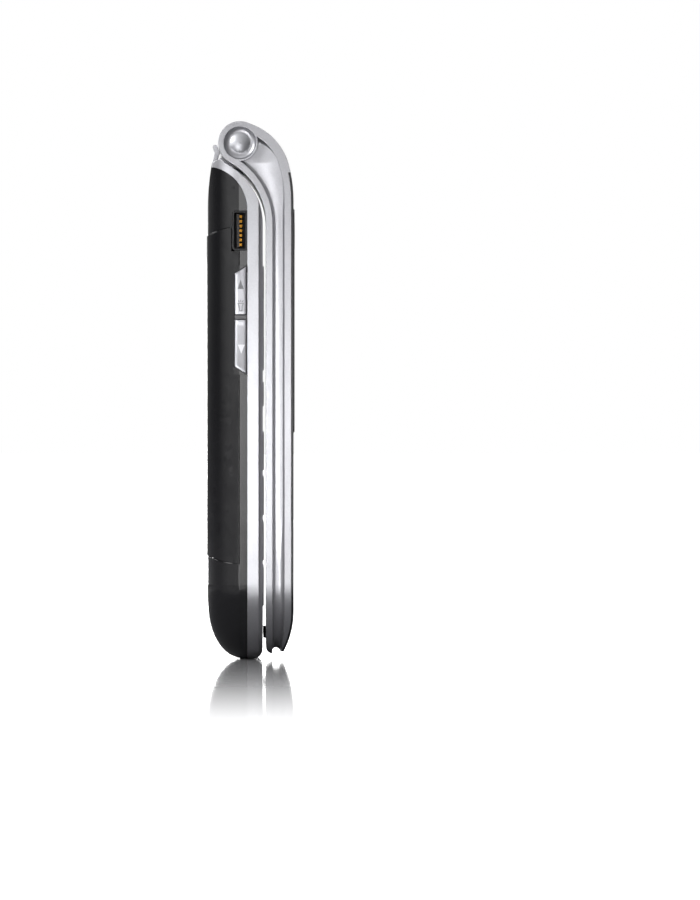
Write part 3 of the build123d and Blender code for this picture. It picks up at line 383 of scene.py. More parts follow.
def raised_plate(name, across, along, point, under, crease=35):
    """Closed plate: a grid of top points, walls, and an underside given by one more function."""
    shape = bmesh.new()
    top = [[shape.verts.new(point(u, v)) for v in along] for u in across]
    low = [[shape.verts.new(under(u, v)) for v in along] for u in across]
    for grid in (top, low):
        for i in range(len(across) - 1):
            for j in range(len(along) - 1):
                shape.faces.new((grid[i][j], grid[i + 1][j], grid[i + 1][j + 1], grid[i][j + 1]))
    rims = []
    for grid in (top, low):
        rims.append(
            [row[0] for row in grid] + grid[-1][1:] + [row[-1] for row in grid[-2::-1]] + grid[0][-2:0:-1])
    walls(shape, *rims)
    return finished_mesh(name, shape, crease)


def flat_shape(name, outlines, place):
    """Thin closed slabs over flat outlines; place(a, b, lift) gives the point above a surface."""
    shape = bmesh.new()
    for outline in outlines:
        top = [shape.verts.new(place(a, b, MARK_PROUD)) for a, b in outline]
        low = [shape.verts.new(place(a, b, -MARK_SUNK)) for a, b in outline]
        shape.faces.new(top)
        shape.faces.new(low[::-1])
        walls(shape, top, low)
    return finished_mesh(name, shape)


def strokes(points, width):
    """Outlines of the straight strokes through a row of points."""
    made = []
    for (a, b), (c, d) in zip(points, points[1:]):
        length = math.hypot(c - a, d - b)
        p, q = (c - a) / length * width / 2, (d - b) / length * width / 2
        made.append([
            (a - p - q, b - q + p), (a - p + q, b - q - p),
            (c + p + q, d + q - p), (c + p - q, d + q + p)])
    return made


def arc(radius, first, last, step=15):
    """Points on an arc about the middle, between two bearings in degrees."""
    bearings = [math.radians(degrees) for degrees in range(first, last, step)]
    return [(radius * math.cos(a), radius * math.sin(a)) for a in bearings]


def rotated(outline, degrees):
    """Points of an outline turned about the middle."""
    c, s = math.cos(math.radians(degrees)), math.sin(math.radians(degrees))
    return [(a * c - b * s, a * s + b * c) for a, b in outline]


def smooth_share(value, start, end):
    """0 up to start, 1 from end on, and a smooth rise between them."""
    share = min(max((value - start) / (end - start), 0.0), 1.0)
    return share * share * (3 - 2 * share)


def turned(name, profile, centre, steps=48):
    """Closed turned piece along Y about a centre in X and Z; the profile holds radius and Y."""
    shape = bmesh.new()
    rings = []
    for radius, y in profile:
        count = steps if radius > 0 else 1
        rings.append([
            shape.verts.new((
                centre[0] + radius * math.cos(2 * math.pi * k / steps), y,
                centre[1] + radius * math.sin(2 * math.pi * k / steps)))
            for k in range(count)])
    for first, last in zip(rings, rings[1:] + rings[:1]):
        for k in range(steps):
            # A ring on the axis is one point, so its corners fall together
            corners = dict.fromkeys((
                first[k % len(first)], first[(k + 1) % len(first)],
                last[(k + 1) % len(last)], last[k % len(last)]))
            if len(corners) > 2:
                shape.faces.new(list(corners))
    return finished_mesh(name, shape)


def face_middle(node_name):
    """X, Y and Z of the middle of a node's face that looks towards the lid."""
    low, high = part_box(node_name)
    return (low.x + high.x) / 2, low.y, (low.z + high.z) / 2


def written(name, text, centre):
    """Generic characters as a thin closed mesh about a place on a face that looks towards the lid."""
    curve = bpy.data.curves.new(name, "FONT")
    curve.body, curve.size, curve.extrude = text, DIGIT_HEIGHT / DIGIT_SHARE, CHARACTER_HALF
    curve.align_x, curve.align_y = "CENTER", "CENTER"
    curve.resolution_u = 4
    writing = placed(name + "_curve", curve)
    graph = bpy.context.evaluated_depsgraph_get()
    mesh = bpy.data.meshes.new_from_object(writing.evaluated_get(graph))
    bpy.data.objects.remove(writing)
    shape = bmesh.new()
    shape.from_mesh(mesh)
    bmesh.ops.remove_doubles(shape, verts=shape.verts, dist=0.001 * MM)
    for vertex in shape.verts:
        a, b, lift = vertex.co
        vertex.co = (centre[0] + a, centre[1] - lift + CHARACTER_HALF - MARK_PROUD, centre[2] + b)
    return finished_mesh(name, shape)


def rounded_drop(distance, radius):
    """How far a rounded edge falls away at a distance from that edge."""
    if distance >= radius:
        return 0.0
    return radius - math.sqrt(max(radius**2 - (radius - distance) ** 2, 0.0))


class PHONE_OT_studio(bpy.types.Operator):
    """Builds the pale floor, the even room light, the soft lamps and the camera"""

    bl_idname = "phone.studio"
    bl_label = "Studio"

    def execute(self, context):
        studio = context.scene.phone_studio
        scene = context.scene
        scene.view_settings.view_transform = "Standard"

        camera = placed("camera", bpy.data.cameras.new("camera"))
        camera.data.sensor_width = SENSOR_MM
        camera.data.lens = SENSOR_MM * studio.camera_distance / studio.picture_height
        middle = (start_box[0] + start_box[1]) / 2
        camera.location = (start_box[0].x - studio.camera_distance, middle.y, middle.z)
        camera.rotation_euler = (math.radians(90), 0, math.radians(-90))
        camera.data.shift_x = PHONE_LEFT / PICTURE_LONG_SIDE
        camera.data.shift_y = -PHONE_UP / PICTURE_LONG_SIDE
        camera.data.clip_start, camera.data.clip_end = 0.01, 20.0
        scene.camera = camera

        world = bpy.data.worlds.new("studio_room")
        scene.world = world
        world.use_nodes = True
        tree = world.node_tree
        tree.nodes.clear()
        rays = node(tree, "ShaderNodeLightPath")
        seen = node(tree, "ShaderNodeMath", {"operation": "MAXIMUM"}, {
            0: rays.outputs["Is Camera Ray"], 1: rays.outputs["Is Transmission Ray"],
        })
        # What gloss mirrors of the room: bright beside the phone, dim before the lid, dark behind the case
        way = node(tree, "ShaderNodeTexCoord").outputs["Generated"]
        parts = node(tree, "ShaderNodeSeparateXYZ", inputs={"Vector": way})
        before = node(tree, "ShaderNodeMapRange", SMOOTH, {
            "Value": parts.outputs["Y"], "From Min": -0.9, "From Max": 0.2,
            "To Min": studio.lid_side_glow, "To Max": studio.back_glow,
        })
        mirrored = before.outputs["Result"]
        above = node(tree, "ShaderNodeMapRange", SMOOTH, {
            "Value": parts.outputs["Z"], "From Min": 0.2, "From Max": 0.8,
            "To Max": studio.sky_glow,
        }).outputs["Result"]
        for patch in (
            self.glow_patch(tree, parts, -1, NEAR_GLOW_START, studio.side_glow),
            self.glow_patch(tree, parts, 1, FAR_GLOW_START, studio.side_glow),
            self.quarter_patch(tree, parts, -1, studio.quarter_glow),
            self.quarter_patch(tree, parts, 1, studio.quarter_glow * FAR_QUARTER),
            above,
        ):
            mirrored = node(
                tree, "ShaderNodeMath", {"operation": "ADD"}, {0: mirrored, 1: patch}).outputs[0]
        lit = node(tree, "ShaderNodeMix", {"data_type": "FLOAT"}, {
            "Factor": rays.outputs["Is Glossy Ray"], "A": studio.room_light, "B": mirrored,
        })
        shown = node(tree, "ShaderNodeMix", {"data_type": "FLOAT"}, {
            "Factor": seen.outputs[0], "A": lit.outputs["Result"], "B": 1.0,
        })
        glow = node(tree, "ShaderNodeBackground", inputs={
            "Color": srgb("#ffffff"), "Strength": shown.outputs["Result"],
        })
        node(tree, "ShaderNodeOutputWorld", inputs={"Surface": glow.outputs[0]})

        # Each side of the phone has the same lamps, so both sides look alike
        levels = studio.narrow_level, studio.near_level, studio.high_level
        for side, word in ((-1, "left"), (1, "right")):
            for (name, place, shape, wide, tall, spread), level in zip(LAMPS, levels):
                lamp = self.lamp(f"{name}_{word}", shape, wide, tall, level)
                lamp.data.spread = math.radians(spread)
                lamp.location = (side * place[0], *place[1:])
                lamp.rotation_euler = (middle - lamp.location).to_track_quat("-Z", "Y").to_euler()
        overhead = self.lamp(
            "overhead_lamp", "SQUARE", OVERHEAD_SIZE, OVERHEAD_SIZE, studio.overhead_level)
        overhead.location = (0.0, 0.0, OVERHEAD_HEIGHT)

        mesh = bpy.data.meshes.new("studio_floor")
        plan = bmesh.new()
        bmesh.ops.create_grid(plan, x_segments=8, y_segments=8, size=FLOOR_HALF)
        plan.to_mesh(mesh)
        plan.free()
        floor = placed("studio_floor", mesh)
        # A hair below the phone's foot, so that the two never share a plane
        floor.location = (0, 0, -0.02 * MM)
        floor.data.materials.append(self.white_gloss_floor())
        return {"FINISHED"}

    def lamp(self, name, shape, wide, tall, level):
        """Area lamp that the camera doesn't see; its level is the brightness of its face."""
        lamp = placed(name, bpy.data.lights.new(name, "AREA"))
        lamp.data.shape = shape
        lamp.data.size, lamp.data.size_y = wide, tall
        lamp.data.energy = level * math.pi * wide * tall
        lamp.visible_camera = False
        return lamp

    def glow_patch(self, tree, parts, end, start, level):
        """Glow round one end of the X axis, from nothing at start to a level at the end."""
        return node(tree, "ShaderNodeMapRange", inputs={
            "Value": parts.outputs["X"], "From Min": start, "From Max": float(end), "To Max": level,
        }).outputs["Result"]

    def quarter_patch(self, tree, parts, end, level):
        """Broad glow between one end of the X axis and the battery side."""
        along = node(tree, "ShaderNodeMapRange", SMOOTH, {
            "Value": parts.outputs["X"], "From Min": 0.1 * end, "From Max": 0.7 * end, "To Max": level,
        })
        across = node(tree, "ShaderNodeMapRange", SMOOTH, {
            "Value": parts.outputs["Y"], "From Min": 0.12, "From Max": 0.5,
        })
        return node(tree, "ShaderNodeMath", TIMES, {
            0: along.outputs["Result"], 1: across.outputs["Result"],
        }).outputs[0]

    def white_gloss_floor(self):
        """White acrylic sheet: pale and shiny, so it keeps a soft shadow and a faint mirror image; round
        the phone's foot a painted shadow darkens its colour.
        """
        material, tree, place = new_material("white_acrylic_floor")
        rays = node(tree, "ShaderNodeLightPath")
        away = node(tree, "ShaderNodeVectorMath", {"operation": "LENGTH"}, {0: place}).outputs["Value"]
        # The mirror image is strong where the floor is seen flat, and fades out half a metre from the phone
        fade = node(tree, "ShaderNodeMapRange", SMOOTH, {
            "Value": away, "From Max": 0.47, "To Min": 0.95, "To Max": 0.0,
        })
        glance = node(tree, "ShaderNodeFresnel", inputs={"IOR": 1.49})
        flat_look = node(tree, "ShaderNodeMapRange", inputs={
            "Value": glance.outputs[0], "From Min": 0.25, "From Max": 0.85, "To Max": 0.92,
        })
        share = node(tree, "ShaderNodeMath", TIMES, {
            0: fade.outputs["Result"], 1: flat_look.outputs["Result"],
        })
        # Painted shadow: the floor's colour is a little deeper round the phone's foot, and gloss sees it
        # there as a dark sheet of painted shade, which keeps the phone's lower corners deep
        painted_shade_share = node(tree, "ShaderNodeMapRange", SMOOTH, {
            "Value": away, "From Min": 0.04, "From Max": 0.25, "To Min": 1.0, "To Max": 0.75,
        })
        # Painted shade: gloss rays see the floor near the phone as a dark sheet
        dim = node(tree, "ShaderNodeMath", TIMES, {
            0: rays.outputs["Is Glossy Ray"], 1: painted_shade_share.outputs["Result"],
        })
        painted_floor_shadow = node(tree, "ShaderNodeMix", {"data_type": "RGBA"}, {
            "Factor": painted_shade_share.outputs["Result"], "A": srgb("#d2d2d2"), "B": srgb("#a0a0a2"),
        })
        tone = node(tree, "ShaderNodeMix", {"data_type": "RGBA"}, {
            "Factor": dim.outputs[0], "A": painted_floor_shadow.outputs["Result"], "B": srgb("#5c5c5e"),
        })
        matt = node(tree, "ShaderNodeBsdfDiffuse", inputs={"Color": tone.outputs["Result"]})
        # The camera sees the floor turn pure white away from the phone's shadow
        white = node(tree, "ShaderNodeMapRange", SMOOTH, {
            "Value": away, "From Min": 0.02, "From Max": 0.66, "To Min": 0.05,
        })
        lift = node(tree, "ShaderNodeMath", TIMES, {
            0: rays.outputs["Is Camera Ray"], 1: white.outputs["Result"],
        })
        glow = node(tree, "ShaderNodeEmission", inputs={
            "Color": srgb("#ffffff"), "Strength": lift.outputs[0],
        })
        sheet = node(tree, "ShaderNodeAddShader", inputs={0: matt.outputs[0], 1: glow.outputs[0]})
        mirror = node(tree, "ShaderNodeBsdfGlossy", inputs={"Color": srgb("#ffffff"), "Roughness": 0.05})
        whole = node(tree, "ShaderNodeMixShader", inputs={
            "Fac": share.outputs[0], 1: sheet.outputs[0], 2: mirror.outputs[0],
        })
        return surfaced(material, whole)


class PHONE_OT_black_case(bpy.types.Operator):
    """Finishes the moulded black case and its battery cover"""

    bl_idname = "phone.black_case"
    bl_label = "Black case"

    def execute(self, context):
        give(["rear_case", "battery_cover"], gloss_black_polycarbonate(context.scene.phone_finish))
        return {"FINISHED"}


class PHONE_OT_silver_frames(bpy.types.Operator):
    """Finishes the silver frame of the base, the strap eye and the two silver shells of the lid"""

    bl_idname = "phone.silver_frames"
    bl_label = "Silver frames"

    def execute(self, context):
        lacquer = silver_lacquer(context.scene.phone_finish)
        give(["base_frame", "lid_front_housing", "lid_inner_housing", "strap_eye"], lacquer)
        return {"FINISHED"}


class PHONE_OT_thumb_notch(bpy.types.Operator):
    """Builds the floor of the thumb notch at the bottom of the base's frame"""

    bl_idname = "phone.thumb_notch"
    bl_label = "Thumb notch"

    def execute(self, context):
        gap, sheet, bow = 0.12 * MM, 0.08 * MM, 0.4 * MM
        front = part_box("main_board")[0].y - gap
        half, low, high = 8.0 * MM, 1.2 * MM, 7.6 * MM

        def point(u, v):
            """The floor bows out towards the middle of its lower edge."""
            return Vector((u * half, front - bow * (1 - v) * (1 - u * u), low + v * (high - low)))

        across = [i / 12 for i in range(-12, 13)]
        along = [i / 12 for i in range(13)]
        floor = raised_plate(
            "thumb_notch_floor", across, along, point, lambda u, v: point(u, v) + Vector((0, sheet, 0)))
        lacquer = silver_lacquer(context.scene.phone_finish, "silver_lacquer_notch")
        new_piece("thumb_notch_floor", floor, "base", lacquer)
        return {"FINISHED"}


class PHONE_OT_lid_panel(bpy.types.Operator):
    """Finishes the lid's black panel and its raised window"""

    bl_idname = "phone.lid_panel"
    bl_label = "Lid panel and window"

    def execute(self, context):
        give(["lid_panel"], spark_eroded_plastic("satin_black_panel", "#1c1c1e", 0.3, 0.4, 0.002))
        give(["outer_window"], polished_window_acrylic(context.scene.phone_finish))
        return {"FINISHED"}


class PHONE_OT_hinge(bpy.types.Operator):
    """Finishes the domed caps, the hinge module and the rolled cable"""

    bl_idname = "phone.hinge"
    bl_label = "Hinge"

    def execute(self, context):
        give(["hinge_caps"], nickel_plated("nickel_plated_cap", "#b4b5b9", 0.46, 0.3, 0.0))
        give(["hinge_module", "hinge_sleeve"], nickel_plated("turned_steel", "#a9abae", 0.34, 0.15))
        give(["hinge_cable"], spark_eroded_plastic("polyimide_flex", "#8a4d14", 0.32, 1.0, 0.002))
        return {"FINISHED"}


class PHONE_OT_side_fittings(bpy.types.Operator):
    """Finishes the side connector and the audio jack"""

    bl_idname = "phone.side_fittings"
    bl_label = "Side fittings"

    def execute(self, context):
        finish = context.scene.phone_finish
        give(["side_connector_shell"], spark_eroded_plastic("black_nylon_shell", "#0b0b0c", 0.5, 0.2))
        give(["side_connector_tongue"], spark_eroded_plastic("liquid_crystal_polymer", "#241f1d", 0.5, 0.2))
        give(["side_connector_contacts", "audio_jack_contacts", "battery_contacts"], gold_plated(finish))
        give(["audio_jack_housing"], spark_eroded_plastic("dark_red_nylon", "#3a0508", 0.4, 0.3))
        return {"FINISHED"}


class PHONE_OT_keypad(bpy.types.Operator):
    """Finishes the keypad's keys and plate, and prints the digits and plain signs on the keys"""

    bl_idname = "phone.keypad"
    bl_label = "Keypad"

    def execute(self, context):
        finish = context.scene.phone_finish
        satin = spark_eroded_plastic("satin_black_key", "#151517", 0.36, 0.25, 0.003)
        lacquer = silver_lacquer(finish, "silver_lacquer_key", 0.34, 0.1, finish.key_silver)
        digit_keys = [name for name in sorted(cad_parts) if name.startswith("digit_key")]
        give(digit_keys, satin)
        silver_keys = ["call_key", "clear_key", "end_key", "nav_ring", "select_key"]
        soft_keys = ["soft_key_left", "soft_key_right"]
        give(silver_keys + soft_keys, lacquer)
        give(["keypad_plate"], spark_eroded_plastic("satin_black_plate", "#101012", 0.42, 0.3, 0.003))

        white = printed_ink("white_pad_print", "#d4d4d6")
        dark = printed_ink("dark_pad_print", "#2b2b2e")
        for name in digit_keys:
            word = name.rsplit("_", 1)[1]
            text = {"star": "*", "hash": "#"}.get(word, word)
            mesh = written(name + "_mark", text, face_middle(name))
            new_piece(name + "_mark", mesh, name + "_body", white)
        # The signs, in millimetres from the middle of their key
        back_arrow = strokes([(-0.9, 0.0), (1.7, 0.0)], 0.35) + [[(-0.7, -0.75), (-0.7, 0.75), (-1.9, 0.0)]]
        self.print_shape("clear_key", back_arrow, dark)
        for name in soft_keys:
            self.print_shape(name, strokes([(-1.5, 0.0), (1.5, 0.0)], 0.5), dark)
        self.print_shape("call_key", self.handset(0), printed_ink("green_pad_print", "#2f8a41"))
        self.print_shape("end_key", self.handset(180), printed_ink("red_pad_print", "#b02a2c"))
        arrow = [(-0.8, 6.1), (0.8, 6.1), (0.0, 7.1)]
        self.print_shape("nav_ring", [rotated(arrow, turn) for turn in (0, 90, 180, 270)], dark)
        self.print_shape("select_key", strokes(arc(1.3, 0, 375), 0.3), dark)
        return {"FINISHED"}

    def print_shape(self, name, outlines, ink):
        """Puts flat outlines in millimetres in the middle of a key."""
        x, y, z = face_middle(name)
        mesh = flat_shape(
            name + "_mark", outlines, lambda a, b, lift: Vector((x + a * MM, y - lift, z + b * MM)))
        new_piece(name + "_mark", mesh, name + "_body", ink)

    def handset(self, turn):
        """A telephone handset, turned by an angle in degrees: a bow between two square ends."""
        parts = strokes([(a, b - 0.9) for a, b in arc(1.9, 30, 160)], 0.55)
        for side in (-1, 1):
            near, far, low, high = side * 1.2, side * 2.2, -0.45, 0.35
            parts.append([(near, low), (far, low), (far, high), (near, high)])
        return [rotated(part, turn) for part in parts]


class PHONE_OT_lid_camera(bpy.types.Operator):
    """Builds the camera's ring and lens in the outer window"""

    bl_idname = "phone.lid_camera"
    bl_label = "Lid camera"

    def execute(self, context):
        x, _, z = face_middle("camera_module")
        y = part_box("outer_window")[0].y
        # Radius and place behind the window's face, in millimetres
        ring = [
            (2.0, 0.2), (2.0, -0.02), (2.06, -0.1), (2.2, -0.14),
            (2.5, -0.14), (2.62, -0.1), (2.68, 0.0), (2.68, 0.2)]
        dome = [(0.0, -0.09), (0.7, -0.08), (1.3, -0.05), (1.8, 0.0), (2.04, 0.04), (2.04, 0.2), (0.0, 0.2)]
        steel = nickel_plated("turned_ring_steel", "#b9babd", 0.3, 0.1)
        acrylic = bpy.data.materials["polished_window_acrylic"]
        for name, profile, material, slot in (
            ("camera_ring", ring, steel, "steel"), ("camera_lens", dome, acrylic, "window_black")
        ):
            mesh = turned(name, [(r * MM, y + d * MM) for r, d in profile], (x, z))
            new_piece(name, mesh, "lid", material)
        return {"FINISHED"}


class PHONE_OT_inner_parts(bpy.types.Operator):
    """Finishes the boards, the shields, the battery and the small parts inside"""

    bl_idname = "phone.inner_parts"
    bl_label = "Inner parts"

    def execute(self, context):
        finish = context.scene.phone_finish
        give(["main_board", "lid_board", "antenna"], etched_board())
        give(["board_shields"], nickel_plated("tinned_steel_can", "#b4b6b8", 0.38, 0.25))
        give(["battery"], spark_eroded_plastic("battery_wrap", "#3b3e44", 0.46, 0.5, 0.004))
        give(["lid_screws"], nickel_plated("nickel_plated_screw", "#b9bbbe", 0.28, 0.15))
        give(["lid_bumpers"], spark_eroded_plastic("moulded_rubber", "#0c0c0d", 0.8, 0.2, 0.01))
        give(["inner_lens", "inner_display", "outer_display"], polished_window_acrylic(finish))
        moulded_parts = [
            "camera_module", "earpiece", "loudspeaker", "microphone", "earpiece_grille",
            "keypad_dome_sheet", "side_key_switches",
        ]
        give(moulded_parts, spark_eroded_plastic("matt_black_moulding", "#131314", 0.6, 0.2))
        give(["vibration_motor", "lid_magnet"], nickel_plated("drawn_steel_can", "#a5a7aa", 0.3, 0.2))
        return {"FINISHED"}


# The volume keys: their sides in Y, how far their far ends slant, and the radii of their edges
VOLUME_FRONT, VOLUME_BACK, VOLUME_SLANT = 0.76 * MM, 2.97 * MM, 1.4 * MM
VOLUME_WIDTH = VOLUME_BACK - VOLUME_FRONT
SIDE_ROUND, END_ROUND = 0.22 * MM, 0.18 * MM
# The lower key starts deeper, with a bright band at its square end that leans in by a slope
LOWER_SUNK, BAND_LENGTH, BAND_SLOPE = 0.33 * MM, 1.1 * MM, 0.1
# Clearance round the keys in their slot, and beside the divider
SLOT_GAP, VOLUME_GAP = 0.15 * MM, 0.1 * MM
# How far the foot of a key, and the face and the foot of the divider, lie inside the case's side
KEY_FOOT, DIVIDER_FACE, DIVIDER_FOOT = 1.55 * MM, 0.03 * MM, 0.9 * MM
# The case is flat up to the crease, and leans in behind it
CASE_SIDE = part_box("rear_case")[0].x
CREASE_Y, CREASE_SLOPE = 2.04 * MM, math.tan(math.radians(11.5))


class VolumeKey:
    """Shape of one volume key: a dished bar with one square and one slanted end."""

    def __init__(self, square_z, slant_z, tilts, start, band):
        self.square_z, self.slant_z = square_z, slant_z
        self.tilts = [math.radians(tilt) for tilt in tilts]
        self.start, self.band = start, band
        self.length = abs(slant_z - square_z)
        self.turn = 1 if slant_z > square_z else -1

    def end_z(self, u):
        """Z of the slanted end at a share of the width."""
        return self.slant_z - self.turn * VOLUME_SLANT * u

    def height(self, u, v):
        """X of the key's face at a share of its width and of its length."""
        first, last = self.tilts
        x = self.start + self.turn * self.length * (first * v + (last - first) * v * v / 2)
        along = v * self.length
        if along < self.band:
            x -= (self.band - along) * BAND_SLOPE
        side = min(u, 1 - u) * VOLUME_WIDTH
        end = min(along, (1 - v) * self.length)
        return x + rounded_drop(side, SIDE_ROUND) + rounded_drop(end, END_ROUND)

    def point(self, u, v):
        """Point of the face at a share of the width and of the length."""
        z = self.square_z + v * (self.end_z(u) - self.square_z)
        return Vector((self.height(u, v), VOLUME_FRONT + u * VOLUME_WIDTH, z))

    def on_face(self, y, z, lift):
        """Point over the face at a place given by Y and Z."""
        u = (y - VOLUME_FRONT) / VOLUME_WIDTH
        v = (z - self.square_z) / (self.end_z(u) - self.square_z)
        return Vector((self.height(u, v) - lift, y, z))


class PHONE_OT_volume_keys(bpy.types.Operator):
    """Builds the two dished volume keys, their marks, the bar between them and their slot's corners"""

    bl_idname = "phone.volume_keys"
    bl_label = "Volume keys"

    def execute(self, context):
        finish = context.scene.phone_finish
        lacquer = silver_lacquer(finish, "silver_lacquer_side_key", 0.34, 0.06, finish.key_silver)
        upper_low, upper_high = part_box("volume_up_key")
        lower_low, lower_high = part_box("volume_down_key")
        proud = upper_low.x
        # The tilts of their faces at the square and at the slanted end are in degrees
        upper = VolumeKey(upper_low.z, upper_high.z - SLOT_GAP, (1.0, -4.0), proud, 0.0)
        lower = VolumeKey(
            lower_high.z, lower_low.z + SLOT_GAP, (2.0, 4.5), proud + LOWER_SUNK, BAND_LENGTH)
        # Shares of the width and of the length, closer together over the round edges
        edges = (0.0, 0.012, 0.03, 0.06, 0.1)
        spread = [*edges, 0.3, 0.5, 0.7, *[1 - e for e in edges[::-1]]]
        ends = (0.0, 0.004, 0.01, 0.018, 0.982, 0.99, 0.996, 1.0)
        for name, key, node_name in (
            ("volume_up_bar", upper, "volume_up_key"), ("volume_down_bar", lower, "volume_down_key")
        ):
            along = {*ends, *[i / 16 for i in range(1, 16)]}
            if key.band:
                along.add(key.band / key.length)
            mesh = raised_plate(
                name, spread, sorted(along), key.point,
                lambda u, v: Vector((CASE_SIDE + KEY_FOOT, *key.point(u, v).yz)), 24)
            bar = new_piece(name, mesh, node_name + "_body", lacquer)
            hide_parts(node_name)

        grey = printed_ink("grey_pad_print", "#636366")
        pale = printed_ink("pale_pad_print", "#cfcfd2")
        # The marks, in millimetres: the places of their middles, and the triangles' widths and heights
        up, down = self.triangle(1.87, 69.75, 1.15, 1.75), self.triangle(1.75, 57.7, 1.3, -1.7)
        self.mark("volume_up_mark", up, upper, "volume_up_key", grey)
        self.mark("torch_mark", self.torch(1.85, 65.7), upper, "volume_up_key", grey)
        self.mark("volume_down_mark", down, lower, "volume_down_key", pale)

        dark = spark_eroded_plastic("dark_grey_divider", "#4c4c4e", 0.45, 0.3, 0.003)
        low_z, high_z = lower.square_z + VOLUME_GAP, upper.square_z - VOLUME_GAP

        def divider(u, v, inside):
            y = VOLUME_FRONT + u * VOLUME_WIDTH
            return Vector((CASE_SIDE + inside, y, low_z + v * (high_z - low_z)))

        mesh = raised_plate(
            "volume_divider", (0, 1), (0, 1),
            lambda u, v: divider(u, v, DIVIDER_FACE), lambda u, v: divider(u, v, DIVIDER_FOOT))
        new_piece("volume_divider", mesh, "base", dark)
        self.corner("volume_corner_top", upper)
        self.corner("volume_corner_bottom", lower)
        return {"FINISHED"}

    def mark(self, name, outlines, key, node_name, ink):
        """Puts flat outlines in millimetres, given by Y and Z, on a key's face."""
        metres = [[(y * MM, z * MM) for y, z in outline] for outline in outlines]
        new_piece(name, flat_shape(name, metres, key.on_face), node_name + "_body", ink)

    def triangle(self, y, z, width, height):
        """A triangle about a place; it points down where its height is negative."""
        foot, tip = z - height / 2, z + height / 2
        return [[(y - width / 2, foot), (y + width / 2, foot), (y, tip)]]

    def torch(self, y, z):
        """A torch that points up with three rays over it."""
        rays = [(-0.42, 1.0, -0.3, 0.78), (0.0, 1.08, 0.0, 0.82), (0.42, 1.0, 0.3, 0.78)]
        body = [
            (-0.5, 0.5), (0.5, 0.5), (0.28, 0.0), (0.22, -0.85), (-0.22, -0.85), (-0.28, 0.0), (-0.5, 0.5)]
        made = []
        for a, b, c, d in rays:
            made += strokes([(y + a, z + b), (y + c, z + d)], 0.16)
        return made + strokes([(y + a, z + b) for a, b in body], 0.15)

    def corner(self, name, key):
        """Black corner of the slot beside a key's slanted end, level with the case."""
        gap, thickness = 0.12 * MM, 0.7 * MM
        start_y, wall_y = VOLUME_FRONT + gap, VOLUME_BACK + SLOT_GAP
        wall_z = key.slant_z + key.turn * SLOT_GAP
        across = (0.0, (CREASE_Y - start_y) / (wall_y - start_y), 1.0)

        def at(u, v, depth):
            """Point between the key's slanted end and the slot's wall, at a depth in the case."""
            y = start_y + u * (wall_y - start_y)
            x = CASE_SIDE + max(y - CREASE_Y, 0.0) * CREASE_SLOPE
            edge_z = key.end_z((y - VOLUME_FRONT) / VOLUME_WIDTH) + key.turn * gap
            return Vector((x + depth, y, edge_z + v * (wall_z - edge_z)))

        mesh = raised_plate(
            name, across, (0.0, 1.0), lambda u, v: at(u, v, 0.0), lambda u, v: at(u, v, thickness), 5)
        new_piece(name, mesh, "base", bpy.data.materials["gloss_black_polycarbonate"])


# The lid's cove: where its rows start, end and get finer along Z, where it is looked for in Y, and
# the steps
SCOOP_LOW, SCOOP_HIGH, FINE_FROM = 14.0 * MM, 97.8 * MM, 74 * MM
SCOOP_FRONT, SCOOP_BACK = -7.3 * MM, 1.0 * MM
ROW_STEP, FINE_ROW_STEP, SEARCH_STEP = 2.0 * MM, 0.25 * MM, 0.1 * MM
# Depths in from the phone's side: the cove's edge, its walls, its floor, and the scoop's deepest line;
# then how far the scoop rises, and its thickness
EDGE_DEPTH, WALL_DEPTHS, FLOOR_DEPTHS = 0.25 * MM, (0.3 * MM, 3 * MM), (1.08 * MM, 1.3 * MM)
SCOOP_DEPTH, SCOOP_RISE, SCOOP_SHEET = 1.158 * MM, 0.76 * MM, 0.25 * MM
# The scoop rises by half where the cove is narrow and by all of it where the cove is wide; a floor that
# is narrower still has no scoop
NARROW, WIDE = 1.65 * MM, 4.05 * MM
NARROWEST_FLOOR = 0.6 * MM


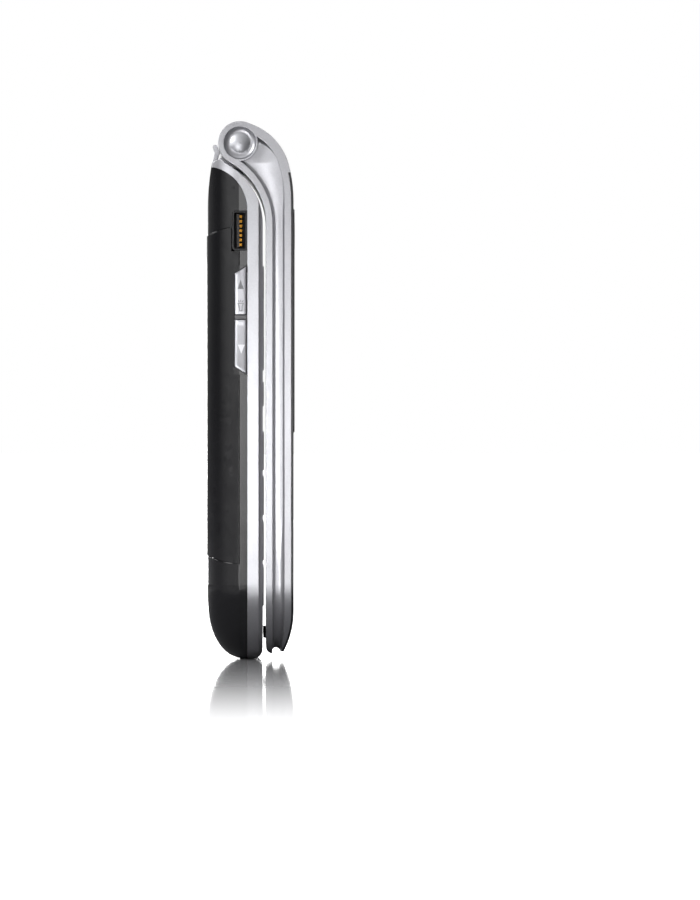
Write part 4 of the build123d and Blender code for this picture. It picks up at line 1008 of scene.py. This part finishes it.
class PHONE_OT_cove_scoop(bpy.types.Operator):
    """Rounds the lid's cove into a scoop that widens beside the hinge barrel"""

    bl_idname = "phone.cove_scoop"
    bl_label = "Cove scoop"

    def execute(self, context):
        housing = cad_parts["lid_front_housing"].data
        self.tree = BVHTree.FromPolygons(
            [v.co for v in housing.vertices], [tuple(f.vertices) for f in housing.polygons])
        rows = self.cove_rows()
        smooth = []
        for i, row in enumerate(rows):
            near = rows[max(i - 2, 0):i + 3]
            smooth.append((row[0], *[sum(r[k] for r in near) / len(near) for k in (1, 2)]))
        if not smooth:
            raise RuntimeError("no cove was found in the lid's front housing")

        outer_line = [Vector((outer, z)) for z, outer, inner in smooth]
        inner_line = [Vector((inner, z)) for z, outer, inner in smooth]

        def scoop(row, s):
            """Point of the scoop, from the floor's inner edge at 0 to the cove's outer edge at 1."""
            z, outer, inner = row
            spot = Vector((inner - s * (inner - outer), z))
            to_inner, to_outer = self.nearest(spot, inner_line), self.nearest(spot, outer_line)
            width = to_inner + to_outer
            rise = 0.5 + 0.5 * smooth_share(width, NARROW, WIDE)
            # It runs out to nothing at its low end
            rise *= smooth_share(z, SCOOP_LOW, 2 * SCOOP_LOW)
            lift = SCOOP_RISE * rise * (1 - math.cos(math.pi / 2 * to_inner / width))
            return Vector((CASE_SIDE + SCOOP_DEPTH - lift, spot.x, z))

        lacquer = bpy.data.materials["silver_lacquer"]
        shares = [i / 20 for i in range(21)]
        index = list(range(len(smooth)))
        tops = {(i, s): scoop(smooth[i], s) for i in index for s in shares}
        for name, mirror in (("cove_scoop_left", 1), ("cove_scoop_right", -1)):
            mesh = raised_plate(
                name, index, shares,
                lambda i, s: Vector((tops[i, s].x * mirror, *tops[i, s].yz)),
                lambda i, s: Vector(((tops[i, s].x + SCOOP_SHEET) * mirror, *tops[i, s].yz)), 40)
            new_piece(name, mesh, "lid", lacquer)
        return {"FINISHED"}

    def depth(self, y, z):
        """How far the lid's front housing lies in from the side of the phone."""
        hit = self.tree.ray_cast(Vector((CASE_SIDE - 5 * MM, y, z)), Vector((1, 0, 0)))[0]
        return hit.x - CASE_SIDE if hit else 1.0

    def crossing(self, shallow, deep, z, limit):
        """Y where the cove passes a depth, between a shallower and a deeper place."""
        for _ in range(14):
            middle = (shallow + deep) / 2
            if self.depth(middle, z) < limit:
                shallow = middle
            else:
                deep = middle
        return shallow

    def cove_rows(self):
        """Rows along the cove: Z, the Y of its outer edge and the Y of its floor's inner edge."""
        rows = []
        z = SCOOP_LOW
        while z < SCOOP_HIGH:
            y, outer, floor = SCOOP_FRONT, None, None
            while y < SCOOP_BACK:
                d = self.depth(y, z)
                if outer is None and WALL_DEPTHS[0] < d < WALL_DEPTHS[1]:
                    outer = self.crossing(y - SEARCH_STEP, y, z, EDGE_DEPTH)
                if outer is not None and FLOOR_DEPTHS[0] < d < FLOOR_DEPTHS[1]:
                    floor = y
                elif floor is not None:
                    break
                y += SEARCH_STEP
            if outer is not None and floor is not None and floor - outer > NARROWEST_FLOOR:
                rows.append((z, outer, self.crossing(floor + SEARCH_STEP, floor, z, FLOOR_DEPTHS[0])))
            z += FINE_ROW_STEP if z > FINE_FROM else ROW_STEP
        return rows

    def nearest(self, spot, line):
        """Distance from a place to a line of points."""
        best = 1.0
        for first, last in zip(line, line[1:]):
            span = last - first
            share = min(max((spot - first).dot(span) / span.length_squared, 0.0), 1.0)
            best = min(best, (spot - first - span * share).length)
        return best


STEPS = (
    PHONE_OT_studio,
    PHONE_OT_black_case,
    PHONE_OT_silver_frames,
    PHONE_OT_thumb_notch,
    PHONE_OT_lid_panel,
    PHONE_OT_hinge,
    PHONE_OT_side_fittings,
    PHONE_OT_volume_keys,
    PHONE_OT_cove_scoop,
    PHONE_OT_keypad,
    PHONE_OT_lid_camera,
    PHONE_OT_inner_parts,
)


class PHONE_PT_panel(bpy.types.Panel):
    """Steps and settings of the flip phone"""

    bl_idname = "PHONE_PT_panel"
    bl_label = "Flip Phone"
    bl_space_type = "VIEW_3D"
    bl_region_type = "UI"
    bl_category = "Flip Phone"

    def draw(self, context):
        for step in STEPS:
            self.layout.operator(step.bl_idname)
        for group in (context.scene.phone_finish, context.scene.phone_studio):
            for name in group.__annotations__:
                self.layout.prop(group, name)


CLASSES = (PhoneFinish, PhoneStudio, *STEPS, PHONE_PT_panel)


def register():
    for made in CLASSES:
        bpy.utils.register_class(made)
    bpy.types.Scene.phone_finish = bpy.props.PointerProperty(type=PhoneFinish)
    bpy.types.Scene.phone_studio = bpy.props.PointerProperty(type=PhoneStudio)


def unregister():
    del bpy.types.Scene.phone_studio
    del bpy.types.Scene.phone_finish
    for made in reversed(CLASSES):
        bpy.utils.unregister_class(made)


def main():
    """Runs every step in order."""
    register()
    for step in STEPS:
        group, name = step.bl_idname.split(".")
        getattr(getattr(bpy.ops, group), name)()


if __name__ == "__main__":
    main()
